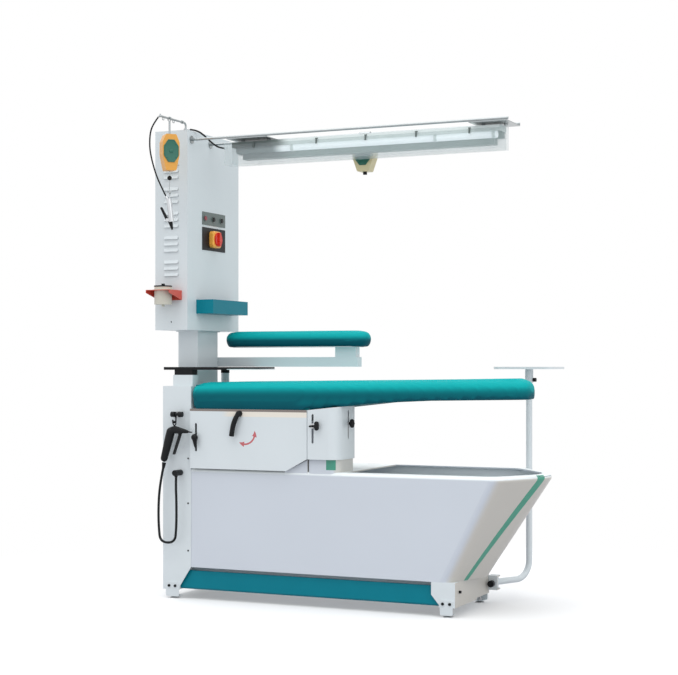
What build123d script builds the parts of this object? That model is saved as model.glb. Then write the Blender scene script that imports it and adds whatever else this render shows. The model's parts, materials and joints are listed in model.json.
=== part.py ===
"""Vacuum ironing table with catch basin, sleeve arm, lamp and two balancers.

Lengths are millimetres. Places are measured from the front left foot corner of the leg
cabinet: x to the right along the board, y to the back, z up from the floor. The part's
origin is the middle of its footprint, on the floor.
"""

import os
from math import cos, radians, sin, tan

from build123d import *

os.makedirs("parts", exist_ok=True)

# Stock and clearances
sheet = 1.5
plate = 3.0
bar_plate = 5.0
soft_gap = 0.4
pin_gap = 0.05
slide_gap = 1.0
overrun = 10.0

# Leg cabinet
cabinet_width = 130.0
cabinet_depth = 450.0
cabinet_low = 36.0
cabinet_top = 855.0
leg_width = 70.0
toe_width = 79.0
toe_height = 15.0
duct_hole_width = 60.0
duct_hole_depth = 120.0

# Catch basin
basin_low = 130.0
basin_top = 526.0
basin_left = cabinet_width + slide_gap
basin_tip = 1545.0

# Right end frame
end_left = 1159.0
end_right = 1254.0
end_depth = 430.0
end_low = 37.0
joggle_start = 245.0
joggle_depth = 14.0
joggle_run = 8.0

# Pedal
pedal_left = 76.0
pedal_right = 1200.0
pedal_front = 10.0
pedal_low = 40.0
pedal_top = 115.0
pedal_pivot_y = 396.0
pedal_pivot_z = 60.0
pedal_pin_radius = 6.0

# Board
board_left = 133.0
board_front = -15.0
board_back = 385.0
board_knee = 620.0
board_nose = 1496.0
nose_width = 130.0
board_top = 877.0
board_low = 766.0
skirt = 14.0
pad_thickness = 17.0

# Housing and duct box below the board, which rise and fall with it
housing_left = 131.5
housing_right = 650.0
housing_front = -12.0
housing_back = 372.0
housing_low = 527.0
side_low = 575.0
housing_corner_x = 560.0
box_left = 651.0
box_right = 782.0
box_back = 150.0
slot_width = 9.0
slot_length = 113.0
stud_radius = 4.0
stud_reach = 26.0

# Column and tower
column_left = 21.0
column_right = 111.0
column_front = 87.0
column_back = 254.0
tower_left = -9.0
tower_right = 139.0
tower_front = -45.0
tower_back = 384.0
tower_low = 1080.0
tower_height = 797.0
tower_top = tower_low + tower_height

# Sleeve arm
arm_pivot_x = 66.0
arm_y = 290.0
arm_end = 741.0
arm_low = 933.0
arm_height = 39.0
arm_width = 40.0
sleeve_left = 141.0
sleeve_right = 786.0
sleeve_width = 116.0
sleeve_low = 1015.0
sleeve_top = 1074.0

# Overhead rods and lamp
rod_radius = 5.0
front_rod_y = -12.0
rear_rod_y = 142.0
rod_drop = 36.0
rod_z = tower_top - rod_drop
rod_end = 1464.0
lamp_left = 299.0
lamp_right = 1418.0
lamp_front = 32.0
lamp_back = 106.0
lamp_drop = 15.0
lamp_height = 88.0
lamp_top = rod_z - lamp_drop
lamp_low = lamp_top - lamp_height

# Air pipe on the tower top
pipe_x = 125.0
pipe_rise = 28.0
pipe_z = tower_top + pipe_rise
pipe_radius = 4.0
pipe_front = -229.0

# Side pole and tray
pole_radius = 12.5
pivot_x = 1260.0
pivot_y = 445.0
pole_x = 1345.0
pole_y = 622.0
pole_low = 79.0
tray_z = 928.0
tray_length = 250.0
tray_width = 200.0

pipe_end_y = pipe_front - pipe_radius - slide_gap
middle_x = (tower_left + basin_tip) / 2
middle_y = (pipe_end_y + pole_y + tray_width / 2) / 2


def at(x, y, z):
    return Vector(x - middle_x, y - middle_y, z)


def level(z, x=0, y=0):
    return Plane(origin=at(x, y, z))


def facing_front(x, y, z):
    return Plane(origin=at(x, y, z), x_dir=(1, 0, 0), z_dir=(0, -1, 0))


def facing_right(x, y, z):
    return Plane(origin=at(x, y, z), x_dir=(0, 1, 0), z_dir=(1, 0, 0))


def block(x, y, z, mode=Mode.ADD):
    """A plate or bar between two limits on each axis."""
    with Locations(at(sum(x) / 2, sum(y) / 2, sum(z) / 2)):
        Box(x[1] - x[0], y[1] - y[0], z[1] - z[0], mode=mode)


def prism(plane, points, depth, mode=Mode.ADD):
    with BuildSketch(plane) as outline:
        with BuildLine():
            Polyline(*points, close=True)
        make_face()
    extrude(outline.sketch, amount=depth, mode=mode)


def round_bar(start, end, radius, mode=Mode.ADD):
    along = end - start
    with BuildSketch(Plane(origin=start, z_dir=along)) as section:
        Circle(radius)
    extrude(section.sketch, amount=along.length, mode=mode)


def folded(plane, points, thickness, depth, side=Side.LEFT):
    """A bent sheet: a line of folds, thickened to one side and extruded."""
    with BuildSketch(plane) as outline:
        with BuildLine():
            Polyline(*points)
            offset(amount=thickness, side=side, kind=Kind.INTERSECTION)
        make_face()
    extrude(outline.sketch, amount=depth)


def keep(part, label):
    part.label = label
    export_step(part, f"parts/{label}.step")


def leg_outline(inset=0.0):
    rear = cabinet_low + inset
    return [
        (inset, rear), (leg_width - inset, rear), (leg_width - inset, basin_low + inset),
        (cabinet_width - inset, basin_low + inset), (cabinet_width - inset, cabinet_top - inset),
        (inset, cabinet_top - inset),
    ]


# Leg cabinet: folded box on a narrow leg, open at the back and through its ducts
fan_duct_y = 200.0
fan_duct_low = 540.0
fan_duct_size = 56.0
with BuildPart() as leg_cabinet:
    prism(facing_front(0, cabinet_depth, 0), leg_outline(), cabinet_depth)
    prism(facing_front(0, cabinet_depth, 0), leg_outline(sheet), cabinet_depth - sheet, Mode.SUBTRACT)
    toe_low = cabinet_low + toe_height
    toe = [(leg_width, cabinet_low), (toe_width, cabinet_low), (toe_width, toe_low),
           (cabinet_width, basin_low), (leg_width, basin_low)]
    prism(facing_front(0, sheet, 0), toe, sheet)
    duct_x = (column_left + column_right) / 2
    duct_y = (column_front + column_back) / 2
    block((duct_x - duct_hole_width / 2, duct_x + duct_hole_width / 2),
          (duct_y - duct_hole_depth / 2, duct_y + duct_hole_depth / 2),
          (cabinet_top - overrun, cabinet_top + overrun), Mode.SUBTRACT)
    block((cabinet_width - overrun, cabinet_width + overrun),
          (fan_duct_y - fan_duct_size / 2, fan_duct_y + fan_duct_size / 2),
          (fan_duct_low, fan_duct_low + fan_duct_size), Mode.SUBTRACT)
    round_bar(at(leg_width - overrun, pedal_pivot_y, pedal_pivot_z),
              at(leg_width + overrun, pedal_pivot_y, pedal_pivot_z),
              pedal_pin_radius + pin_gap, Mode.SUBTRACT)
keep(leg_cabinet.part, "leg_cabinet")

# Rear covers: flat sheets on the backs of the leg cabinet and the tower
cover_slot_width = 90.0
cover_slot_height = 7.0
cover_slot_pitch = 24.0
cover_slot_count = 6
cover_slot_drop = 377.0
with BuildPart() as rear_covers:
    prism(facing_front(0, cabinet_depth + sheet, 0), leg_outline(), sheet)
    block((tower_left, tower_right), (tower_back, tower_back + sheet), (tower_low, tower_top))
    tower_middle = (tower_left + tower_right) / 2
    for row in range(cover_slot_count):
        low = tower_top - cover_slot_drop + row * cover_slot_pitch
        block((tower_middle - cover_slot_width / 2, tower_middle + cover_slot_width / 2),
              (tower_back - overrun, tower_back + overrun), (low, low + cover_slot_height),
              Mode.SUBTRACT)
keep(rear_covers.part, "rear_covers")

# Foot brackets: angle brackets whose lower lip carries a levelling foot
bracket_thick = 2.5
bracket_low = 8.0
bracket_top = 66.0
bracket_lip = 40.0
bracket_corner = 7.0
bracket_width = 60.0
right_bracket_width = 50.0
left_bracket_x = 44.5
right_bracket_x = 1220.0
rear_bracket_x = 1208.0
cover_back = cabinet_depth + sheet
foot_places = [
    (left_bracket_x, bracket_width, 0.0, 1), (left_bracket_x, bracket_width, cover_back, -1),
    (right_bracket_x, right_bracket_width, 0.0, 1),
    (rear_bracket_x, right_bracket_width, end_depth, -1),
]
foot_inset = 20.0
foot_pad_radius = 19.0
foot_pad_height = 5.0
foot_cone = 4.0
foot_stud_radius = 5.0
foot_stud_top = 33.0
nut_radius = 9.0
nut_height = 6.0
with BuildPart() as foot_brackets:
    for x, width, face, inward in foot_places:
        outside = face - inward * bracket_thick
        with BuildSketch(facing_front(x, max(face, outside), 0)) as tab:
            with Locations((0, (bracket_low + bracket_top) / 2)):
                RectangleRounded(width, bracket_top - bracket_low, bracket_corner)
        extrude(tab.sketch, amount=bracket_thick)
        lip = sorted((outside, outside + inward * bracket_lip))
        block((x - width / 2 + bracket_corner, x + width / 2 - bracket_corner), lip,
              (bracket_low, bracket_low + bracket_thick))
        with BuildSketch(level(bracket_low - overrun, x, face + inward * foot_inset)) as hole:
            Circle(foot_stud_radius + slide_gap / 2)
        extrude(hole.sketch, amount=overrun * 2, mode=Mode.SUBTRACT)
keep(foot_brackets.part, "foot_brackets")

with BuildPart() as levelling_feet:
    for x, width, face, inward in foot_places:
        y = face + inward * foot_inset
        with BuildSketch(facing_front(x, y, 0)) as half:
            with BuildLine():
                Polyline((0, 0), (foot_pad_radius, 0), (foot_pad_radius, foot_pad_height / 2),
                         (foot_cone + foot_stud_radius, foot_pad_height),
                         (foot_stud_radius, bracket_low - slide_gap),
                         (foot_stud_radius, foot_stud_top), (0, foot_stud_top), close=True)
            make_face()
        revolve(half.sketch, axis=Axis(at(x, y, 0), (0, 0, 1)))
        with BuildSketch(level(bracket_low + bracket_thick, x, y)) as nut:
            RegularPolygon(nut_radius, 6)
        extrude(nut.sketch, amount=nut_height)
keep(levelling_feet.part, "levelling_feet")

# Base frame: bent end plate with the side pole's ears, and two rails with a cross plate
rail_size = 30.0
front_rail_y = 120.0
rear_rail_y = 396.0
ear_front = 416.0
ear_back = 462.0
ear_left = 1239.0
ear_right = 1278.0
ear_low = 51.0
barrel_low = 57.0
barrel_top = 101.0
pole_pin_radius = 8.0
lug_x = 1205.0
lug_half = 18.0
inner_side = end_right - joggle_depth
chamfer_x = 1190.0
chamfer_low = 46.0
chamfer_z = 83.0
cross_left = 136.0
cross_right = 186.0
with BuildPart() as base_frame:
    run = [(end_left, 0), (end_right, 0), (end_right, joggle_start),
           (inner_side, joggle_start + joggle_run), (inner_side, end_depth), (end_left, end_depth)]
    folded(level(end_low), run, plate, basin_low - end_low)
    prism(level(basin_low - plate), run, plate)
    prism(facing_front(0, plate, 0),
          [(end_left - overrun, chamfer_z), (end_left, chamfer_z), (chamfer_x, chamfer_low),
           (chamfer_x, end_low - overrun), (end_left - overrun, end_low - overrun)],
          plate, Mode.SUBTRACT)
    block((lug_x, lug_x + bar_plate), (pedal_pivot_y - lug_half, end_depth),
          (pedal_pivot_z - lug_half, pedal_pivot_z + lug_half))
    round_bar(at(lug_x - overrun, pedal_pivot_y, pedal_pivot_z),
              at(lug_x + overrun, pedal_pivot_y, pedal_pivot_z),
              pedal_pin_radius + pin_gap, Mode.SUBTRACT)
    for z in (ear_low, barrel_top + slide_gap):
        with BuildSketch(level(z)) as ear:
            with BuildLine():
                Polyline((ear_left, ear_front), (ear_right, ear_front), (ear_right, ear_back),
                         (ear_left, ear_back), close=True)
            make_face()
            fillet(ear.vertices().sort_by(Axis.Y)[-2:], pole_pin_radius)
        extrude(ear.sketch, amount=bar_plate)
    block((ear_left + plate, ear_right), (ear_front, ear_front + bar_plate),
          (ear_low, barrel_top + slide_gap + bar_plate))
    round_bar(at(pivot_x, pivot_y, ear_low), at(pivot_x, pivot_y, barrel_top + slide_gap + bar_plate),
              pole_pin_radius)
    clamp_z = (barrel_low + barrel_top) / 2 - slide_gap
    round_bar(at(pivot_x, ear_front - overrun, clamp_z),
              at(pivot_x, ear_front + overrun, clamp_z), stud_radius + pin_gap, Mode.SUBTRACT)
    for y, right in ((front_rail_y, end_right - plate), (rear_rail_y, inner_side - plate)):
        span = (leg_width, right)
        block(span, (y, y + rail_size), (basin_low - plate - rail_size, basin_low - plate))
        block(span, (y + plate, y + rail_size - plate),
              (basin_low - rail_size, basin_low - 2 * plate), Mode.SUBTRACT)
    block((cross_left, cross_right), (front_rail_y, rear_rail_y + rail_size),
          (basin_low - plate, basin_low))
keep(base_frame.part, "base_frame")

# Foot pedal: long folded bar on two arms, hinged at the back
pedal_arm = 3.0
arm_low_z = 50.0
arm_high_z = 76.0
pedal_lip = 34.0
pedal_sheet = 2.0
pedal_foot = 7.0
pedal_lean = 4.0
with BuildPart() as foot_pedal:
    fold = [(pedal_front + pedal_lip, pedal_top - plate), (pedal_front + pedal_lean, pedal_top),
            (pedal_front, pedal_low + pedal_foot), (pedal_front + pedal_foot, pedal_low)]
    folded(facing_right(pedal_left, 0, 0), fold, pedal_sheet, pedal_right - pedal_left, Side.LEFT)
    for x in (pedal_left, pedal_right - pedal_arm):
        prism(facing_right(x, 0, 0),
              [(pedal_front + pedal_sheet, arm_low_z), (pedal_front + pedal_sheet, arm_high_z),
               (pedal_front + pedal_lip, arm_high_z),
               (pedal_pivot_y + lug_half / 2, pedal_pivot_z + lug_half / 2),
               (pedal_pivot_y + lug_half / 2, pedal_pivot_z - lug_half / 2),
               (pedal_front + pedal_lip, arm_low_z)], pedal_arm)
    round_bar(at(leg_width - bar_plate, pedal_pivot_y, pedal_pivot_z),
              at(pedal_left + pedal_arm, pedal_pivot_y, pedal_pivot_z), pedal_pin_radius)
    round_bar(at(pedal_right - pedal_arm, pedal_pivot_y, pedal_pivot_z),
              at(lug_x + 2 * bar_plate, pedal_pivot_y, pedal_pivot_z), pedal_pin_radius)
keep(foot_pedal.part, "foot_pedal")

# Places of the clamp studs
front_stud = (675.0, 704.0)
left_stud = (159.5, 648.0)
side_stud = (87.0, 713.0)

# Sheet tray for the fan on the closed end of the basin
chassis_left = 137.0
chassis_right = 643.0
chassis_front = 20.0
chassis_back = 364.0
chassis_lip = 12.0
stud_plate_width = 70.0
stud_plate_top = 665.0

# Catch basin: moulded tub with a rounded rim, closed above the fan, with a duct neck
bow_radii = (60.0, 150.0, 80.0)
floor_bow = (1234.0, 1305.0, 225.0, 1234.0, 450.0)
tip_beyond = 27.4
rim_bow = (1429.0, basin_tip + tip_beyond, 285.0, 1361.0, 594.0)
basin_wall = 5.0
rim_width = 42.0
rim_radius = 14.0
deck_end = 790.0
neck_left = 656.0
neck_right = 777.0
neck_front = 2.0
neck_back = 145.0
neck_top = 724.0
neck_wall = 3.5
neck_corner = 34.0


def basin_outline(z, bow, inset=0.0, left=basin_left):
    """Plan of the basin at one height: straight sides and a bow at the right."""
    corner, tip, tip_y, back_corner, back = bow
    points = [(left + inset, inset), (corner - inset, inset), (tip - inset, tip_y),
              (back_corner - inset, back - inset), (left + inset, back - inset)]
    with BuildSketch(level(z)) as outline:
        with BuildLine():
            Polyline(*points, close=True)
        make_face()
        for point, radius in zip(points[1:4], bow_radii):
            fillet(outline.vertices().sort_by_distance(point)[0], radius)
    return outline.sketch


def rounded_plan(z, x, y, corner, others):
    """Plan of a duct: a wide round at its front right corner and small ones elsewhere."""
    with BuildSketch(level(z)) as plan:
        with BuildLine():
            Polyline((x[0], y[0]), (x[1], y[0]), (x[1], y[1]), (x[0], y[1]), close=True)
        make_face()
        fillet(plan.vertices().sort_by_distance((x[1], y[0]))[0], corner)
        for point in ((x[0], y[0]), (x[1], y[1]), (x[0], y[1])):
            fillet(plan.vertices().sort_by_distance(point)[0], others)
    return plan.sketch


with BuildPart() as catch_basin:
    loft([basin_outline(basin_low, floor_bow), basin_outline(basin_top, rim_bow)])
    rim_edges = catch_basin.faces().sort_by(Axis.Z)[-1].edges()
    fillet([e for e in rim_edges if e.center().X > at(basin_left + rim_width, 0, 0).X], rim_radius)
    loft([basin_outline(basin_low + basin_wall, floor_bow, basin_wall),
          basin_outline(basin_top - basin_wall, rim_bow, 2 * basin_wall)], mode=Mode.SUBTRACT)
    mouth = basin_outline(basin_top - 2 * basin_wall, rim_bow, rim_width, deck_end - rim_width)
    extrude(mouth, amount=overrun * 2, mode=Mode.SUBTRACT)
    neck_plan = rounded_plan(basin_top - rim_radius, (neck_left, neck_right), (neck_front, neck_back),
                             neck_corner, neck_wall)
    extrude(neck_plan, amount=neck_top - basin_top + rim_radius)
    neck_hole = rounded_plan(basin_top - rim_radius - overrun,
                             (neck_left + neck_wall, neck_right - neck_wall),
                             (neck_front + neck_wall, neck_back - neck_wall),
                             neck_corner - neck_wall, neck_wall)
    extrude(neck_hole, amount=neck_top - basin_top + rim_radius + 2 * overrun, mode=Mode.SUBTRACT)
    round_bar(at(front_stud[0], neck_front - overrun, front_stud[1]),
              at(front_stud[0], neck_front + overrun, front_stud[1]),
              stud_radius + pin_gap, Mode.SUBTRACT)
    round_bar(at(neck_right - overrun, *side_stud), at(neck_right + overrun, *side_stud),
              stud_radius + pin_gap, Mode.SUBTRACT)
keep(catch_basin.part, "catch_basin")

# Fixings: bracket and frame bolts, face screws, and the studs that the clamp knobs turn on
stud_head_radius = 9.0
stud_head = 3.0
bolt_radius = 5.5
bolt_height = 4.0
bolt_z = 51.0
bolt_spread = 28.0
screw_radius = 3.5
screw_height = 1.5
screw_x = 117.0
screw_rows = (195.0, 385.0, 565.0)
end_bolt_y = 45.0
end_bolt_z = 92.0
with BuildPart() as fixing_bolts:
    for x, width, face, inward in foot_places:
        outside = face - inward * bracket_thick
        for step in (-1, 1):
            bolt_x = x + step * bolt_spread / 2
            round_bar(at(bolt_x, outside, bolt_z),
                      at(bolt_x, outside - inward * bolt_height, bolt_z), bolt_radius)
    for z in screw_rows:
        round_bar(at(screw_x, 0, z), at(screw_x, -screw_height, z), screw_radius)
    round_bar(at(end_right, end_bolt_y, end_bolt_z),
              at(end_right + 2 * bolt_height, end_bolt_y, end_bolt_z), bolt_radius)
    for (x, z), root in ((left_stud, chassis_front + sheet), (front_stud, neck_front + neck_wall)):
        round_bar(at(x, root, z), at(x, housing_front - stud_reach, z), stud_radius)
        round_bar(at(x, root, z), at(x, root + stud_head, z), stud_head_radius)
    inner_wall = neck_right - neck_wall
    y, z = side_stud
    round_bar(at(inner_wall - stud_head, y, z), at(box_right + stud_reach, y, z), stud_radius)
    round_bar(at(inner_wall - stud_head, y, z), at(inner_wall, y, z), stud_head_radius)
keep(fixing_bolts.part, "fixing_bolts")

# Fan under the board: tray and volute with an outlet into the leg cabinet, motor, impeller
fan_x = 480.0
fan_y = 200.0
volute_radius = 108.0
volute_low = basin_top + sheet
volute_top = 598.0
volute_wall = 2.0
inlet_radius = 52.0
motor_radius = 46.0
motor_low = 612.0
motor_top = 678.0
motor_post = 4.0
motor_post_ring = 62.0
shaft_radius = 5.0
impeller_low = 540.0
impeller_top = 584.0
impeller_radius = 88.0
blade_count = 9
blade_thick = 2.0
outlet_height = (fan_duct_low + volute_wall, fan_duct_low + fan_duct_size - volute_wall)
with BuildPart() as fan_housing:
    block((chassis_left, chassis_right), (chassis_front, chassis_back),
          (basin_top, basin_top + chassis_lip))
    block((chassis_left + sheet, chassis_right - sheet), (chassis_front + sheet, chassis_back - sheet),
          (basin_top + sheet, basin_top + chassis_lip + overrun), Mode.SUBTRACT)
    block((chassis_left, chassis_left + stud_plate_width), (chassis_front, chassis_front + sheet),
          (basin_top, stud_plate_top))
    round_bar(at(left_stud[0], chassis_front - overrun, left_stud[1]),
              at(left_stud[0], chassis_front + overrun, left_stud[1]),
              stud_radius + pin_gap, Mode.SUBTRACT)
    round_bar(at(fan_x, fan_y, volute_low), at(fan_x, fan_y, volute_top), volute_radius)
    half_duct = fan_duct_size / 2 - slide_gap
    block((cabinet_width - sheet, fan_x), (fan_y - half_duct, fan_y + half_duct),
          (fan_duct_low + slide_gap, fan_duct_low + fan_duct_size - slide_gap))
    round_bar(at(fan_x, fan_y, volute_low + volute_wall), at(fan_x, fan_y, volute_top - volute_wall),
              volute_radius - volute_wall, Mode.SUBTRACT)
    block((cabinet_width - overrun, fan_x),
          (fan_y - half_duct + volute_wall, fan_y + half_duct - volute_wall),
          (outlet_height[0] + slide_gap, outlet_height[1] - slide_gap), Mode.SUBTRACT)
    round_bar(at(fan_x, fan_y, volute_top - overrun), at(fan_x, fan_y, volute_top + overrun),
              inlet_radius, Mode.SUBTRACT)
keep(fan_housing.part, "fan_housing")

with BuildPart() as fan_motor:
    round_bar(at(fan_x, fan_y, motor_low), at(fan_x, fan_y, motor_top), motor_radius)
    round_bar(at(fan_x, fan_y, impeller_low), at(fan_x, fan_y, motor_low), shaft_radius)
    with BuildSketch(level(motor_low, fan_x, fan_y)) as spider:
        Circle(motor_post_ring + 2 * motor_post)
    extrude(spider.sketch, amount=plate)
    for turn in range(4):
        angle = radians(45 + 90 * turn)
        post_x = fan_x + motor_post_ring * cos(angle)
        post_y = fan_y + motor_post_ring * sin(angle)
        round_bar(at(post_x, post_y, volute_top), at(post_x, post_y, motor_low), motor_post)
keep(fan_motor.part, "fan_motor")

hub_radius = 14.0
with BuildPart() as fan_impeller:
    round_bar(at(fan_x, fan_y, impeller_low), at(fan_x, fan_y, impeller_low + plate), impeller_radius)
    round_bar(at(fan_x, fan_y, impeller_low), at(fan_x, fan_y, impeller_top), hub_radius)
    with BuildSketch(level(impeller_low, fan_x, fan_y)) as blades:
        with PolarLocations((impeller_radius + hub_radius) / 2, blade_count):
            Rectangle(impeller_radius - hub_radius - plate, blade_thick)
    extrude(blades.sketch, amount=impeller_top - impeller_low)
    round_bar(at(fan_x, fan_y, impeller_low - overrun), at(fan_x, fan_y, impeller_top + overrun),
              shaft_radius + pin_gap, Mode.SUBTRACT)
keep(fan_impeller.part, "fan_impeller")


def below_board(inset=0.0):
    """Line of the board's underside, level at the left and rising to the nose."""
    flat_end = housing_right
    return [(board_left - overrun, board_low + inset), (flat_end, board_low + inset),
            (rise_x[0], rise_z[0] + inset), (rise_x[1], rise_z[1] + inset),
            (board_nose + overrun, rise_z[2] + inset)]


def clear_below(inset, y):
    """Cut away everything under the board's underside line."""
    line = below_board(inset)
    low = board_low - board_top
    outline = line + [(line[-1][0], low), (line[0][0], low)]
    prism(facing_front(0, y[1] + overrun, 0), outline, y[1] - y[0] + 2 * overrun, Mode.SUBTRACT)


def clear_above(inset, y):
    """Cut away everything above the board's underside line."""
    line = below_board(inset)
    high = 2 * board_top
    outline = line + [(line[-1][0], high), (line[0][0], high)]
    prism(facing_front(0, y[1] + overrun, 0), outline, y[1] - y[0] + 2 * overrun, Mode.SUBTRACT)


# Board: outline with a round nose, sheet chamber below and a soft pad over it
rise_x = (917.0, 1130.0)
rise_z = (795.0, 805.0, 811.0)
heel_radius = 30.0
knee_radius = 400.0
nose_y = (board_front + board_back) / 2
board_y = (board_front, board_back)


def board_outline(z, inset=0.0):
    """Plan of the board: round heel corners, long taper and a round nose."""
    tip = nose_width / 2 - inset
    points = [(board_left + inset, board_front + inset), (board_knee, board_front + inset),
              (board_nose - inset, nose_y - tip), (board_nose - inset, nose_y + tip),
              (board_knee, board_back - inset), (board_left + inset, board_back - inset)]
    nose_radius = tip * nose_round_share
    heel = max(heel_radius - inset, heel_radius / 3)
    radii = (heel, knee_radius, nose_radius, nose_radius, knee_radius, heel)
    with BuildSketch(level(z)) as outline:
        with BuildLine():
            Polyline(*points, close=True)
        make_face()
        for point, radius in zip(points, radii):
            fillet(outline.vertices().sort_by_distance(point)[0], radius)
    return outline.sketch


nose_round_share = 0.8
pad_heights = (766.0, 800.0, 838.0, 862.0, 872.0, 877.0)
pad_insets = (9.0, 3.0, 0.0, 6.0, 16.0, 44.0)
with BuildPart() as board_pad:
    loft([board_outline(z, inset) for z, inset in zip(pad_heights, pad_insets)])
    clear_below(0, board_y)
    extrude(board_outline(board_low - overrun, skirt - soft_gap),
            amount=board_top - pad_thickness + soft_gap - board_low + overrun, mode=Mode.SUBTRACT)
keep(board_pad.part, "board_pad")

chamber_top = board_top - pad_thickness
chamber_rise = -slide_gap
vent_radius = 6.0
vent_start = 210.0
vent_pitch = 80.0
vent_rows = (-110.0, 0.0, 110.0)
vent_count = 13
vent_keep_in = 36.0
suction_mouth = (210.0, 600.0)
suction_depth = (60.0, 330.0)
duct_mouth_inset = 14.0
box_front_inside = housing_front + sheet
with BuildPart() as chamber_hollow:
    extrude(board_outline(board_low, skirt + sheet), amount=chamber_top - sheet - board_low)
    clear_below(chamber_rise + sheet, board_y)
with BuildPart() as board_chamber:
    extrude(board_outline(board_low - overrun, skirt), amount=chamber_top - board_low + overrun)
    clear_below(chamber_rise, board_y)
    add(chamber_hollow.part, mode=Mode.SUBTRACT)
    block(suction_mouth, suction_depth, (board_low - overrun, board_low + overrun), Mode.SUBTRACT)
    block((box_left + duct_mouth_inset, box_right - duct_mouth_inset),
          (box_front_inside + duct_mouth_inset, box_back - duct_mouth_inset),
          (board_low - overrun, board_low + 3 * overrun), Mode.SUBTRACT)
    for place in range(vent_count):
        vent_x = vent_start + place * vent_pitch
        taper = max(0, (vent_x - board_knee) / (board_nose - board_knee))
        half = (board_back - board_front) / 2 * (1 - taper) + nose_width / 2 * taper
        for row in vent_rows:
            if abs(row) < half - vent_keep_in:
                round_bar(at(vent_x, nose_y + row, chamber_top - overrun),
                          at(vent_x, nose_y + row, chamber_top + overrun), vent_radius, Mode.SUBTRACT)
keep(board_chamber.part, "board_chamber")

# Housing under the board: folded sheet with a deep front, a top flange and a clamp slot
lever_x = 357.0
lever_z = 748.0
lever_shaft = 5.0
lever_bearing_y = 196.0
bearing_half = 14.0
housing_top = board_low + chamber_rise
front_slot_low = 637.0
left_slot_low = 595.0
side_slot_low = 653.0
outlet_notch = 76.0
outlet_notch_height = 65.0


def clamp_slot(plane):
    with BuildSketch(plane) as slot:
        SlotOverall(slot_length, slot_width, rotation=90)
    extrude(slot.sketch, amount=2 * overrun, mode=Mode.SUBTRACT)


with BuildPart() as board_housing:
    front = [(housing_left, housing_low), (housing_corner_x, housing_low),
             (housing_right, side_low), (housing_right, housing_top), (housing_left, housing_top)]
    prism(facing_front(0, housing_front + sheet, 0), front, sheet)
    block((housing_left, housing_right), (housing_front, housing_back), (side_low, housing_top))
    block((housing_left + sheet, housing_right - sheet), (housing_front + sheet, housing_back - sheet),
          (side_low - overrun, housing_top - sheet), Mode.SUBTRACT)
    block((suction_mouth[0] - plate, suction_mouth[1] + plate),
          (suction_depth[0] - plate, suction_depth[1] + plate),
          (housing_top - overrun, housing_top + overrun), Mode.SUBTRACT)
    block((housing_left - overrun, housing_left + overrun),
          (fan_y - outlet_notch / 2, fan_y + outlet_notch / 2),
          (side_low - overrun, side_low + outlet_notch_height), Mode.SUBTRACT)
    block((lever_x - bearing_half, lever_x + bearing_half), (lever_bearing_y, lever_bearing_y + plate),
          (lever_z - bearing_half, housing_top))
    block((lever_x - bearing_half, lever_x + bearing_half),
          (lever_bearing_y, suction_depth[1] + plate + sheet), (housing_top - sheet, housing_top))
    round_bar(at(lever_x, housing_front - overrun, lever_z),
              at(lever_x, lever_bearing_y + overrun, lever_z), lever_shaft + pin_gap, Mode.SUBTRACT)
    clamp_slot(facing_front(left_stud[0], housing_front + overrun, left_slot_low + slot_length / 2))
keep(board_housing.part, "board_housing")

# Duct box: open sheet box that slides over the basin's neck, with two clamp slots
box_corner = 45.0
box_fold = 4.0
with BuildPart() as duct_box:
    box_height = board_top - side_low
    extrude(rounded_plan(side_low, (box_left, box_right), (housing_front, box_back), box_corner, box_fold),
            amount=box_height)
    extrude(rounded_plan(side_low - overrun, (box_left + sheet, box_right - sheet),
                         (housing_front + sheet, box_back - sheet), box_corner - sheet, box_fold - sheet),
            amount=box_height + 2 * overrun, mode=Mode.SUBTRACT)
    clear_above(chamber_rise, board_y)
    clamp_slot(facing_front(front_stud[0], housing_front + overrun, front_slot_low + slot_length / 2))
    clamp_slot(facing_right(box_right - overrun, side_stud[0], side_slot_low + slot_length / 2))
keep(duct_box.part, "duct_box")

# Clamp knobs: a hub on the stud with an egg shaped grip to one side
knob_hub = 8.5
knob_hub_length = 16.0
knob_length = 25.0
knob_grip_reach = 15.0
knob_grip_radius = 9.5
knob_grip_half = 9.0
knob_grip_start = 8.0
knob_round = 3.0


def clamp_knob(plane, reach, along, label):
    """A knob on a stud along the plane's normal, its grip at reach from the stud."""
    with BuildPart() as knob:
        with BuildSketch(plane) as hub:
            Circle(knob_hub)
        extrude(hub.sketch, amount=knob_hub_length)
        with BuildSketch(plane.offset(knob_grip_start)) as grip:
            for step in (-1, 1):
                with Locations((reach[0] + step * along[0], reach[1] + step * along[1])):
                    Circle(knob_grip_radius)
            make_hull()
        extrude(grip.sketch, amount=knob_length - knob_grip_start)
        fillet(knob.faces().sort_by(Axis(plane.origin, plane.z_dir))[-1].edges(), knob_round)
        with BuildSketch(plane) as bore:
            Circle(stud_radius + pin_gap)
        extrude(bore.sketch, amount=stud_reach, mode=Mode.SUBTRACT)
    keep(knob.part, label)


clamp_knob(facing_front(left_stud[0], housing_front - soft_gap, left_stud[1]),
           (0, -knob_grip_reach / 2), (0, knob_grip_reach), "clamp_knob_left")
clamp_knob(facing_front(front_stud[0], housing_front - soft_gap, front_stud[1]),
           (knob_grip_reach, 0), (0, knob_grip_half), "clamp_knob_front")
clamp_knob(facing_right(box_right + soft_gap, *side_stud),
           (0, 0), (0, knob_grip_half), "clamp_knob_side")

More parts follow.
